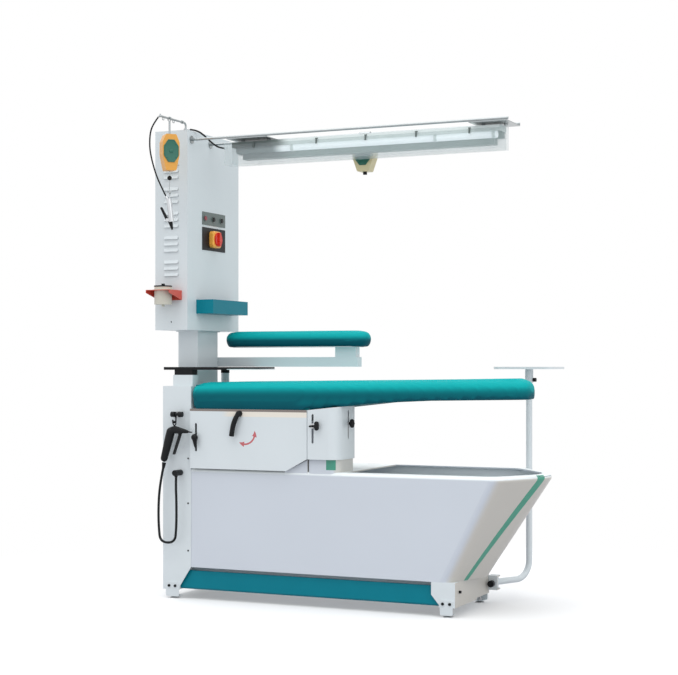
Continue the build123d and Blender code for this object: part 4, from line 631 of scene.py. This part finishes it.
# %% Soft edges
SOFT_EDGES = {"tower_shell": 1.6, "leg_cabinet": 1.6, "column": 1.2, "base_frame": 1.2,
              "tool_tray": 0.8, "foot_pedal": 1.4, "sleeve_arm": 1.6, "duct_box": 1.2,
              "switch_body": 1.5, "main_switch_knob": 1.0}
for name, width in SOFT_EDGES.items():
    node = frame["nodes"][name]
    bevel = node.modifiers.new("soft_edges", "BEVEL")
    bevel.width = width / 1000
    bevel.segments = 2
    bevel.limit_method = "ANGLE"
    bevel.angle_limit = math.radians(50)
    bevel.harden_normals = True
print("softened", len(SOFT_EDGES), "nodes")

for piece in (air_hose, lamp_cable, spray_hose):
    piece.data.materials.append(finishes["hose_black"])

# %% [markdown]
# ## Small tools for extra pieces
# A piece made here is one mesh at the origin, whose vertices carry its place. It is parented
# to an empty named after the CAD body it rides on, and takes the finish named by its material
# slot, or a finish of its own. Flat shading is kept only where two faces meet at a real
# corner.

# %% From a bmesh to a piece
def piece_of(name, shape, body, slot_name, finish=None, corner=32):
    """Turns the shape into a piece; corner is the angle from which an edge shows as sharp."""
    mesh = bpy.data.meshes.new(name)
    bmesh.ops.recalc_face_normals(shape, faces=shape.faces)
    shape.to_mesh(mesh)
    shape.free()
    for face in mesh.polygons:
        face.use_smooth = True
    mesh.set_sharp_from_angle(angle=math.radians(corner))
    piece = bpy.data.objects.new(name, mesh)
    bpy.context.collection.objects.link(piece)
    mesh.materials.append(finishes[finish or slot_name])
    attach(piece, body)
    return piece


def facing_matrix(spot, across, out):
    """Local x runs across and local z out of the surface, at a place in millimetres."""
    x = Vector(across).normalized()
    z = Vector(out).normalized()
    matrix = Matrix((x, z.cross(x), z)).transposed().to_4x4()
    matrix.translation = place(*spot)
    return matrix


def points_of(geometry):
    return [g for g in geometry if isinstance(g, bmesh.types.BMVert)]


def new_points(shape):
    """The points of the part that is being added; those of finished parts are tagged."""
    return [v for v in shape.verts if not v.tag]


def part_done(shape):
    for vert in shape.verts:
        vert.tag = True


def add_turned(shape, profile, matrix, steps=32):
    """Turns a profile of (radius, height) in millimetres about the matrix's z axis."""
    rim = [shape.verts.new((radius / 1000, 0, height / 1000)) for radius, height in profile]
    line = [shape.edges.new(pair) for pair in zip(rim, rim[1:])]
    bmesh.ops.spin(shape, geom=rim + line, axis=(0, 0, 1), cent=(0, 0, 0),
                   angle=2 * math.pi, steps=steps, use_merge=True)
    bmesh.ops.remove_doubles(shape, verts=new_points(shape), dist=1e-7)
    bmesh.ops.transform(shape, matrix=matrix, verts=new_points(shape))
    part_done(shape)


def add_block(shape, low, high, edge, steps=3):
    """A box between two places in millimetres, with rounded edges."""
    size = [(b - a) / 1000 for a, b in zip(low, high)]
    middle = place(*[(a + b) / 2 for a, b in zip(low, high)])
    cube = bmesh.ops.create_cube(shape, size=1, matrix=Matrix.Translation(middle)
                                 @ Matrix.Diagonal((*size, 1)))
    edges = [e for e in shape.edges if e.verts[0] in cube["verts"]]
    bmesh.ops.bevel(shape, geom=edges, offset=edge / 1000, segments=steps, profile=0.5,
                    affect="EDGES", material=-1)
    part_done(shape)


def add_balls(shape, balls, flat=1.0):
    """The tight skin round a few balls (x, y, z, radius) in millimetres, flattened in depth."""
    cloud = bmesh.new()
    for x, y, z, radius in balls:
        spot = Matrix.Translation(place(x, y, z)) @ Matrix.Diagonal((1, flat, 1, 1))
        bmesh.ops.create_uvsphere(cloud, u_segments=24, v_segments=14, radius=radius / 1000,
                                  matrix=spot)
    bmesh.ops.delete(cloud, geom=list(cloud.edges), context="EDGES_FACES")
    skin = bmesh.ops.convex_hull(cloud, input=list(cloud.verts))
    inside = points_of(skin["geom_interior"] + skin["geom_unused"])
    bmesh.ops.delete(cloud, geom=list(dict.fromkeys(inside)), context="VERTS")
    mesh = bpy.data.meshes.new("skin")
    cloud.to_mesh(mesh)
    cloud.free()
    shape.from_mesh(mesh)
    bpy.data.meshes.remove(mesh)
    part_done(shape)


def melt(piece, voxel, rounds):
    """Grows the overlapping skins of a piece into one moulded body."""
    remesh = piece.modifiers.new("one_skin", "REMESH")
    remesh.mode = "VOXEL"
    remesh.voxel_size = voxel / 1000
    remesh.use_smooth_shade = True
    smooth = piece.modifiers.new("moulded", "SMOOTH")
    smooth.factor = 0.5
    smooth.iterations = rounds
    return piece


def rod(name, points, radius, body, slot_name, radii=None):
    """A bent round bar; radii are shares of the radius at each point."""
    bar = spline(name + "_line", points, radius / 1000, radii)
    mesh = bpy.data.meshes.new_from_object(bar)
    bpy.data.objects.remove(bar)
    shape = bmesh.new()
    shape.from_mesh(mesh)
    bpy.data.meshes.remove(mesh)
    bmesh.ops.remove_doubles(shape, verts=shape.verts, dist=1e-6)
    return piece_of(name, shape, body, slot_name, corner=60)


# %% [markdown]
# ## The pads
# A pad is a cover that its stuffing pulls tight. Each starts as an even copy of its CAD solid,
# which is then blown up as cloth under pressure, with its underside held where it is laced to
# the board. The simulated cloth swells far too much, by up to 77 mm on the board, so each
# point's step is cut to a few millimetres. That cuts about a third of the board cover's
# points and a sixth of the sleeve cover's. There the limit gives the shape, not the cloth.

# %% Stuffed covers
def cover_of(name, node, voxel):
    source = frame["nodes"][node]
    mesh = source.data.copy()
    mesh.transform(source.matrix_world)
    piece = bpy.data.objects.new(name, mesh)
    bpy.context.collection.objects.link(piece)
    even = piece.modifiers.new("even", "REMESH")
    even.mode = "VOXEL"
    even.voxel_size = voxel / 1000
    ready = piece.evaluated_get(bpy.context.evaluated_depsgraph_get())
    piece.data = bpy.data.meshes.new_from_object(ready)
    piece.modifiers.clear()
    print(name, len(piece.data.vertices), "points")
    return piece


INWARD = 0.4
FRAMES = 20


def stuff(piece, held, pressure, reach):
    """Blows the cover up with the held points pinned, and cuts each step to reach.

    Nothing may sink by more than INWARD, because the board lies right under the cover."""
    mesh = piece.data
    start = [(v.co.copy(), v.normal.copy()) for v in mesh.vertices]
    pins = piece.vertex_groups.new(name="held")
    pins.add([v.index for v in mesh.vertices if held(v.co, v.normal)], 1, "REPLACE")
    cloth = piece.modifiers.new("stuffing", "CLOTH")
    cloth.settings.vertex_group_mass = "held"
    cloth.settings.use_pressure = True
    cloth.settings.uniform_pressure_force = pressure
    cloth.settings.effector_weights.gravity = 0
    cloth.point_cache.frame_start = 1
    cloth.point_cache.frame_end = FRAMES
    for number in range(1, FRAMES + 1):
        bpy.context.scene.frame_set(number)
    ready = piece.evaluated_get(bpy.context.evaluated_depsgraph_get())
    full = bpy.data.meshes.new_from_object(ready)
    piece.modifiers.clear()
    bpy.context.scene.frame_set(1)
    lengths = []
    for vert, blown, (rest, out) in zip(mesh.vertices, full.vertices, start):
        step = blown.co - rest
        step -= out * min(0, step.dot(out) + INWARD / 1000)
        lengths.append(step.length * 1000)
        vert.co = rest + step * min(1, reach / 1000 / max(step.length, 1e-9))
    bpy.data.meshes.remove(full)
    print(piece.name, "would move up to", round(max(lengths), 1), "mm;",
          sum(length > reach for length in lengths), "of", len(lengths), "points cut to", reach)


def finish_pad(piece, node, body):
    for face in piece.data.polygons:
        face.use_smooth = True
    piece.data.materials.clear()
    piece.data.materials.append(finishes["pad_teal"])
    soft = piece.modifiers.new("soft", "SUBSURF")
    soft.levels = 1
    soft.render_levels = 1
    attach(piece, body)
    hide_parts(node)


# %% [markdown]
# ### The board's pad
# The pad is deepest at its heel and its top climbs a little towards the nose. The cover's
# wall that lies against the sheet chamber is held, so only the outside swells. After that
# the top is set to the photograph's line, CROWN, and points close to the underside's line
# are laid onto it.

# %% Board pad
BOARD_LEFT, BOARD_NOSE, BOARD_MIDDLE = 133, 1496, 185
BOARD_TOP = 877
HEEL_ROUND, NOSE_ROUND = 150, 120
SNAP_ABOVE, SNAP_BELOW = 4, 8
CROWN = [(133, 860), (200, 867), (420, 870), (900, 876), (1300, 881), (1496, 884)]
UNDERSIDE = [(133, 766), (650, 766), (917, 795), (1130, 805), (1496, 811)]


def along(table, x):
    """The height that a table of (x, height) gives at x."""
    for (x0, z0), (x1, z1) in zip(table, table[1:]):
        if x <= x1:
            return z0 + (z1 - z0) * max(0, x - x0) / (x1 - x0)
    return table[-1][1]


def board_pad():
    pad = cover_of("board_pad_cover", "board_pad", voxel=8)
    origin = place(0, 0, 0)

    def held(spot, normal):
        x, y, _ = (spot - origin) * 1000
        spine_x = min(max(x, BOARD_LEFT + HEEL_ROUND), BOARD_NOSE - NOSE_ROUND)
        outward = Vector((x - spine_x, y - BOARD_MIDDLE, 0)).normalized()
        return normal.dot(outward) < -0.2 or normal.z < -0.5

    stuff(pad, held, pressure=3.0, reach=5)
    for vert in pad.data.vertices:
        x, y, z = (vert.co - origin) * 1000
        under = along(UNDERSIDE, x)
        rise = (along(CROWN, x) - under) / (BOARD_TOP - under)
        if z > under + SNAP_ABOVE:
            z = under + (z - under) * rise
        elif z > under - SNAP_BELOW:
            z = under
        vert.co.z = origin.z + z / 1000
    finish_pad(pad, "board_pad", "board")


board_pad()

# %% [markdown]
# ### The sleeve board's pad
# This one is a bolster. Its cover is gathered under both ends, where it hangs a little lower.

# %% Sleeve pad
SLEEVE_LEFT, SLEEVE_RIGHT, SLEEVE_MIDDLE_Z = 141, 786, 1045
GATHER_REACH = 75
GATHER_PLACE = 0.45
GATHER_SAG = 2


def sleeve_pad():
    pad = cover_of("sleeve_pad_cover", "sleeve_pad", voxel=6)
    origin = place(0, 0, 0)
    stuff(pad, lambda spot, normal: normal.z < -0.75, pressure=4.0, reach=4)
    for vert in pad.data.vertices:
        x, y, z = (vert.co - origin) * 1000
        end = min(x - SLEEVE_LEFT, SLEEVE_RIGHT - x)
        near = max(0, 1 - abs(end - GATHER_REACH * GATHER_PLACE) / GATHER_REACH)
        under = max(0, min(1, (SLEEVE_MIDDLE_Z - z) / 20))
        vert.co.z -= GATHER_SAG * near * under / 1000
    finish_pad(pad, "sleeve_pad", "sleeve_board")


sleeve_pad()

# %% [markdown]
# ## Balancer faces
# A spring balancer is a case with a round spring under a face plate. The plates are green
# enamel and left plain. Their hubs and the four screws are a guess, and so are the plates at
# the back: the photograph shows only a green plate on the front of each case.

# %% Green face plates
PLATE_THICK = 0.003
SCREW_SPREAD = 0.62, 0.6


def face_plate(name, spot, across, out, half, body):
    """An eight-sided plate on a case, with a raised rim, a hub and four screws."""
    matrix = facing_matrix(spot, across, out)
    shape = bmesh.new()
    eighth = math.pi / 8
    made = bmesh.ops.create_circle(shape, cap_ends=True, segments=8,
                                   radius=0.001 / math.cos(eighth))
    stretch = Matrix.Diagonal((*half, 1, 1)) @ Matrix.Rotation(eighth, 4, "Z")
    bmesh.ops.transform(shape, matrix=stretch, verts=made["verts"])
    top = bmesh.ops.extrude_face_region(shape, geom=shape.faces[:])
    bmesh.ops.translate(shape, vec=(0, 0, PLATE_THICK), verts=points_of(top["geom"]))
    upper = [f for f in shape.faces if all(v.co.z > PLATE_THICK / 2 for v in f.verts)]
    bmesh.ops.inset_region(shape, faces=upper, thickness=0.0032, depth=0.0)
    upper = [f for f in shape.faces if all(v.co.z > PLATE_THICK / 2 for v in f.verts)]
    middle = min(upper, key=lambda f: f.calc_center_median().xy.length)
    bmesh.ops.inset_region(shape, faces=[middle], thickness=0.001, depth=-0.0012)
    sharp = [e for e in shape.edges if e.is_manifold and e.calc_face_angle() > 0.6]
    bmesh.ops.bevel(shape, geom=sharp, offset=0.0005, segments=2, profile=0.5,
                    affect="EDGES", material=-1)
    bmesh.ops.transform(shape, matrix=matrix, verts=shape.verts)
    part_done(shape)
    add_turned(shape, [(0, 4.6), (5, 4.4), (8.5, 3.2), (9.2, 1.0), (9.2, 0)], matrix, 28)
    for side, up in ((-1, -1), (1, -1), (-1, 1), (1, 1)):
        screw = Matrix.Translation((side * SCREW_SPREAD[0] * half[0] / 1000,
                                    up * SCREW_SPREAD[1] * half[1] / 1000, 0))
        add_turned(shape, [(0, 3.4), (1.6, 3.2), (2.4, 2.4), (2.4, 0)], matrix @ screw, 16)
    piece_of(name, shape, body, "balancer_orange", "balancer_green", 28)


TURN = math.radians(47)
SIDE = (math.cos(TURN), math.sin(TURN), 0)
OUT = (math.sin(TURN), -math.cos(TURN), 0)
CASE_HALF = 23
TOOL_CASE = (125, -159, 1776)
IRON_CASE = (829, 142, 1758)
for label, sign in (("front", 1), ("back", -1)):
    spot = [c + sign * CASE_HALF * o for c, o in zip(TOOL_CASE, OUT)]
    face_plate("tool_balancer_face_" + label, spot, [sign * c for c in SIDE],
               [sign * c for c in OUT], (30, 44), "stand")
    spot = (IRON_CASE[0], IRON_CASE[1] - sign * CASE_HALF, IRON_CASE[2])
    face_plate("iron_balancer_face_" + label, spot, (sign, 0, 0), (0, -sign, 0), (32, 40),
               "iron_hanger")
print("four face plates")

# %% [markdown]
# ## Changeover lever
# The lever is a bent bar moulded over with black plastic: a hub, then a grip that curves away.

# %% Changeover lever
def changeover_lever():
    hub = bmesh.new()
    add_turned(hub, [(0, 19), (7, 18.4), (10, 16), (11.5, 10), (12.5, 0), (0, 0)],
               facing_matrix((357, -12.3, 748), (1, 0, 0), (0, -1, 0)))
    piece_of("changeover_hub", hub, "changeover", "black_plastic")
    grip = rod("changeover_grip",
               [(359, -25, 750), (352, -27, 740), (342, -30, 716), (334, -30, 690),
                (329, -28, 660)],
               9.8, "changeover", "black_plastic", [0.8, 1, 1.05, 1, 1.05])
    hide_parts("changeover_lever")


changeover_lever()

# %% [markdown]
# ## Clamp knobs
# Each knob is a hub with an egg shaped grip, moulded in one. The balls below sketch the form
# and a fine remesh melts them together. The steel collar behind each knob is a guess.

# %% Clamp knobs
KNOBS = {
    "clamp_knob_left": ("knob_left", [[(160, -20, 650, 11), (163, -30, 652, 13.5)],
                                      [(163, -29, 648, 11), (166, -29, 614, 4.0)]]),
    "clamp_knob_front": ("knob_front", [[(680, -18, 704, 4.5), (694, -26, 704, 6)],
                                        [(699, -27, 714, 9.5), (699, -27, 697, 9.5)]]),
    "clamp_knob_side": ("knob_side", [[(789, 87, 713, 6.5), (797, 87, 713, 8)],
                                      [(798, 87, 721, 9.2), (798, 87, 705, 9.2)]]),
}
COLLARS = {"clamp_knob_left": ((159.5, -12.4, 648), (0, -1, 0)),
           "clamp_knob_front": ((675, -12.4, 704), (0, -1, 0)),
           "clamp_knob_side": ((782.4, 87, 713), (1, 0, 0))}
for node, (body, skins) in KNOBS.items():
    shape = bmesh.new()
    for balls in skins:
        add_balls(shape, balls)
    grip = melt(piece_of(node + "_grip", shape, body, "black_plastic"), voxel=1.1, rounds=6)
    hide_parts(node)
    spot, out = COLLARS[node]
    collar = bmesh.new()
    add_turned(collar, [(0, 0), (9.5, 0), (9.5, 2.2), (8.6, 3), (0, 3)],
               facing_matrix(spot, (out[1], -out[0], 0), out))
    piece_of(node + "_collar", collar, body, "black_plastic", "zinc_steel")
print(len(KNOBS), "knobs")

# %% [markdown]
# ## Spray gun
# The gun is a moulded pistol hung by a ring: a blunt head, a nozzle to the right and a stout
# handle that slants down to the left, where the hose leaves through a boot. The photograph
# shows one dark shape, so the boot's ribs are a guess.

# %% Spray gun
RIBS, RIB_PITCH, RIB_RADIUS, RIB_NARROWS = 5, 4.4, 8.6, 0.6


def spray_gun():
    shape = bmesh.new()
    add_balls(shape, [(58, -36, 678, 13), (76, -36, 688, 9), (120, -36, 676, 8.5),
                      (133, -36, 674, 6.5)], 0.9)
    add_balls(shape, [(57, -36, 672, 18), (48, -36, 640, 18)], 0.85)
    add_balls(shape, [(48, -36, 640, 18), (27, -36, 566, 15)], 0.85)
    add_balls(shape, [(34, -36, 568, 10), (19, -36, 562, 5)], 0.9)
    add_balls(shape, [(100, -36, 668, 9), (100, -36, 659, 5.5)], 0.9)
    body = melt(piece_of("spray_gun_body", shape, "stand", "black_plastic"), voxel=1.5,
                rounds=5)
    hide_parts("spray_gun")
    rod("spray_gun_ring", [(74, -36, 690), (74, -36, 697), (84, -36, 706), (74, -36, 717),
                           (64, -36, 706), (74, -36, 697)], 2.4, "stand", "black_plastic")
    rod("spray_gun_nozzle", [(130, -36, 674), (140, -36, 673), (155, -36, 672)], 2.6, "stand",
        "black_plastic", [1.6, 1, 0.9])
    boot = bmesh.new()
    ribs = [(0, 0)]
    for number in range(RIBS):
        wide, low = RIB_RADIUS - number * RIB_NARROWS, number * RIB_PITCH
        ribs += [(wide, low), (wide, low + 2.6), (wide - 1.4, low + 3.2)]
    ribs += [(5.2, 23), (0, 23)]
    add_turned(boot, ribs, facing_matrix((26.5, -36, 548), (0, 1, 0), (-0.16, 0, -1)), 24)
    piece_of("spray_hose_boot", boot, "stand", "black_rubber")


spray_gun()

# %% [markdown]
# ## Air gun lever and nozzle
# The air gun's lever is a flat bar in the CAD model. A moulded grip goes over it, and a short
# black barrel runs down to the tip.

# %% Air gun grip
def air_gun_grip():
    rod("air_gun_grip", [(116, -159, 1507), (106, -159, 1524), (97, -159, 1541),
                         (87, -159, 1558)],
        4.6, "air_trigger", "black_plastic", [0.9, 1, 1.1, 1.0])
    rod("air_gun_barrel", [(119, -159, 1512), (126, -159, 1496), (132, -159, 1484),
                           (137.5, -159, 1470)],
        4.4, "stand", "black_plastic", [1.1, 1.2, 1, 0.8])


air_gun_grip()

# %% [markdown]
# ## Mat on the iron rest
# The hot iron stands on a black mat that covers the plate beside the column. How far back
# it goes is a guess.

# %% Iron mat
MAT_BLOCKS = [((-6, 22, 924.2), (280, 74, 931.8), 2.4),
              ((124, 22, 924.3), (280, 300, 931.7), 2.4),
              ((131, 290, 924.4), (280, 448, 931.6), 2.4),
              ((-8.4, 19.2, 920.4), (281.6, 21.8, 931.9), 1.0)]


def iron_mat():
    shape = bmesh.new()
    for low, high, edge in MAT_BLOCKS:
        add_block(shape, low, high, edge)
    piece_of("iron_mat", shape, "stand", "black_rubber")


iron_mat()

# %% [markdown]
# ## Basin shoulder
# Under the sloping corner of the housing the basin's neck widens into a shoulder. The slit
# that parts it in two isn't in the photograph: the walls of the housing and of the duct box
# need it to go up and down.

# %% Basin shoulder
SHOULDER_FRONT, SHOULDER_BACK = 2.4, 16
SHOULDERS = [[(548, 514), (548, 526), (560, 530), (646, 572), (646, 514)],
             [(653.5, 514), (653.5, 573), (663, 564), (671, 546), (686, 527), (686, 514)]]


def basin_shoulder():
    shape = bmesh.new()
    for outline in SHOULDERS:
        front = shape.faces.new([shape.verts.new(place(x, SHOULDER_FRONT, z))
                                 for x, z in outline])
        back = bmesh.ops.extrude_face_region(shape, geom=[front])
        bmesh.ops.translate(shape, vec=(0, (SHOULDER_BACK - SHOULDER_FRONT) / 1000, 0),
                            verts=points_of(back["geom"]))
    piece_of("basin_shoulder", shape, "stand", "basin_plastic")


basin_shoulder()

# %% [markdown]
# ## Lamp clips
# Small grey marks along the lamp are built as clips that hold its clear cover to the
# reflector. Their shape is a guess.

# %% Lamp clips
CLIP_PLACES = (398, 672, 880, 1088, 1300)


def lamp_clips():
    shape = bmesh.new()
    for x in CLIP_PLACES:
        add_block(shape, (x - 3, 25.6, 1800), (x + 3, 27.8, 1821), 0.8, 2)
        add_block(shape, (x - 5, 26.4, 1818), (x + 5, 34, 1821.5), 0.8, 2)
        add_block(shape, (x - 4, 24.4, 1799), (x + 4, 28, 1803), 1.0, 2)
    piece_of("lamp_clips", shape, "stand", "plate_grey")


lamp_clips()

# %% [markdown]
# ## Floor, backdrop and light
# The picture has a plain white ground. A broad soft light from above makes the floor white
# wherever nothing shades it, and far out the floor fades to the white of the backdrop. The
# camera sees a whiter floor than the one that lights the table from below, because a floor
# as white as it looks would light the undersides more than the photograph shows.

# %% Studio
FLOOR_MIDDLE = (768, 244, 0)
FLOOR_FADE = (2300, 1300)
FLOOR_COVERS = 0.75
FLOOR_WHITE = (0.93, 0.93, 0.93)
FLOOR_BOUNCE = (0.50, 0.50, 0.53)
SKY_COLOUR = (0.93, 0.96, 1, 1)
SKY_STRENGTH = 0.64


def studio_floor():
    mesh = bpy.data.meshes.new("studio_floor")
    shape = bmesh.new()
    bmesh.ops.create_grid(shape, x_segments=1, y_segments=1, size=9)
    shape.to_mesh(mesh)
    shape.free()
    floor = bpy.data.objects.new("studio_floor", mesh)
    bpy.context.collection.objects.link(floor)
    paint = Paint("studio_floor", FLOOR_WHITE, 0.9)
    across, deep, _ = paint.at(FLOOR_MIDDLE)
    away = (across * across + deep * deep) ** 0.5
    seen = paint.node("ShaderNodeLightPath", output="Is Camera Ray")
    cloud = paint.noise(1.5, 2.0) * 0.02
    pale = paint.mix(cloud, FLOOR_WHITE, (0.90, 0.90, 0.91))
    paint.feed("Base Color", paint.mix(seen, FLOOR_BOUNCE, pale))
    paint.feed("Alpha", paint.ramp(away, *FLOOR_FADE) * FLOOR_COVERS)
    floor.data.materials.append(paint.material)


studio_floor()

world = bpy.data.worlds.new("studio_world")
bpy.context.scene.world = world
world.use_nodes = True
sky = world.node_tree
background = sky.nodes["Background"]
background.inputs["Color"].default_value = SKY_COLOUR
background.inputs["Strength"].default_value = SKY_STRENGTH
white = sky.nodes.new("ShaderNodeBackground")
white.inputs["Color"].default_value = (1, 1, 1, 1)
path = sky.nodes.new("ShaderNodeLightPath")
seen = path.outputs["Is Camera Ray"]
for kind in ("Is Transmission Ray", "Is Glossy Ray"):
    either = sky.nodes.new("ShaderNodeMath")
    either.operation = "MAXIMUM"
    sky.links.new(seen, either.inputs[0])
    sky.links.new(path.outputs[kind], either.inputs[1])
    seen = either.outputs[0]
choose = sky.nodes.new("ShaderNodeMixShader")
sky.links.new(seen, choose.inputs[0])
sky.links.new(background.outputs[0], choose.inputs[1])
sky.links.new(white.outputs[0], choose.inputs[2])
sky.links.new(choose.outputs[0], sky.nodes["World Output"].inputs["Surface"])


def daylight(name, spot, target, strength, softness, tint=(1, 1, 1)):
    """A distant soft light, named by a place it shines from and one it shines at."""
    light = bpy.data.lights.new(name, "SUN")
    light.energy = strength
    light.angle = math.radians(softness)
    light.color = tint
    lamp = bpy.data.objects.new(name, light)
    lamp.location = Vector(spot)
    lamp.rotation_euler = (Vector(target) - Vector(spot)).to_track_quat("-Z", "Y").to_euler()
    bpy.context.collection.objects.link(lamp)


daylight("overhead", (-0.3, -0.6, 4), (0, 0, 0), 2.0, 70)
daylight("window", (5.0, -2.6, 3.4), (0, 0, 0.8), 0.60, 60, (0.98, 0.99, 1))
daylight("doorway", (-2.0, -5.0, 2.6), (0, 0, 0.8), 0.20, 60, (0.98, 0.98, 1))

bpy.context.scene.view_settings.view_transform = "Standard"

# %% [markdown]
# ## Finish
# The shown object should keep to the CAD model's size. Here the view layer is only brought up
# to date once more.

# %% Finish
bpy.context.view_layer.update()
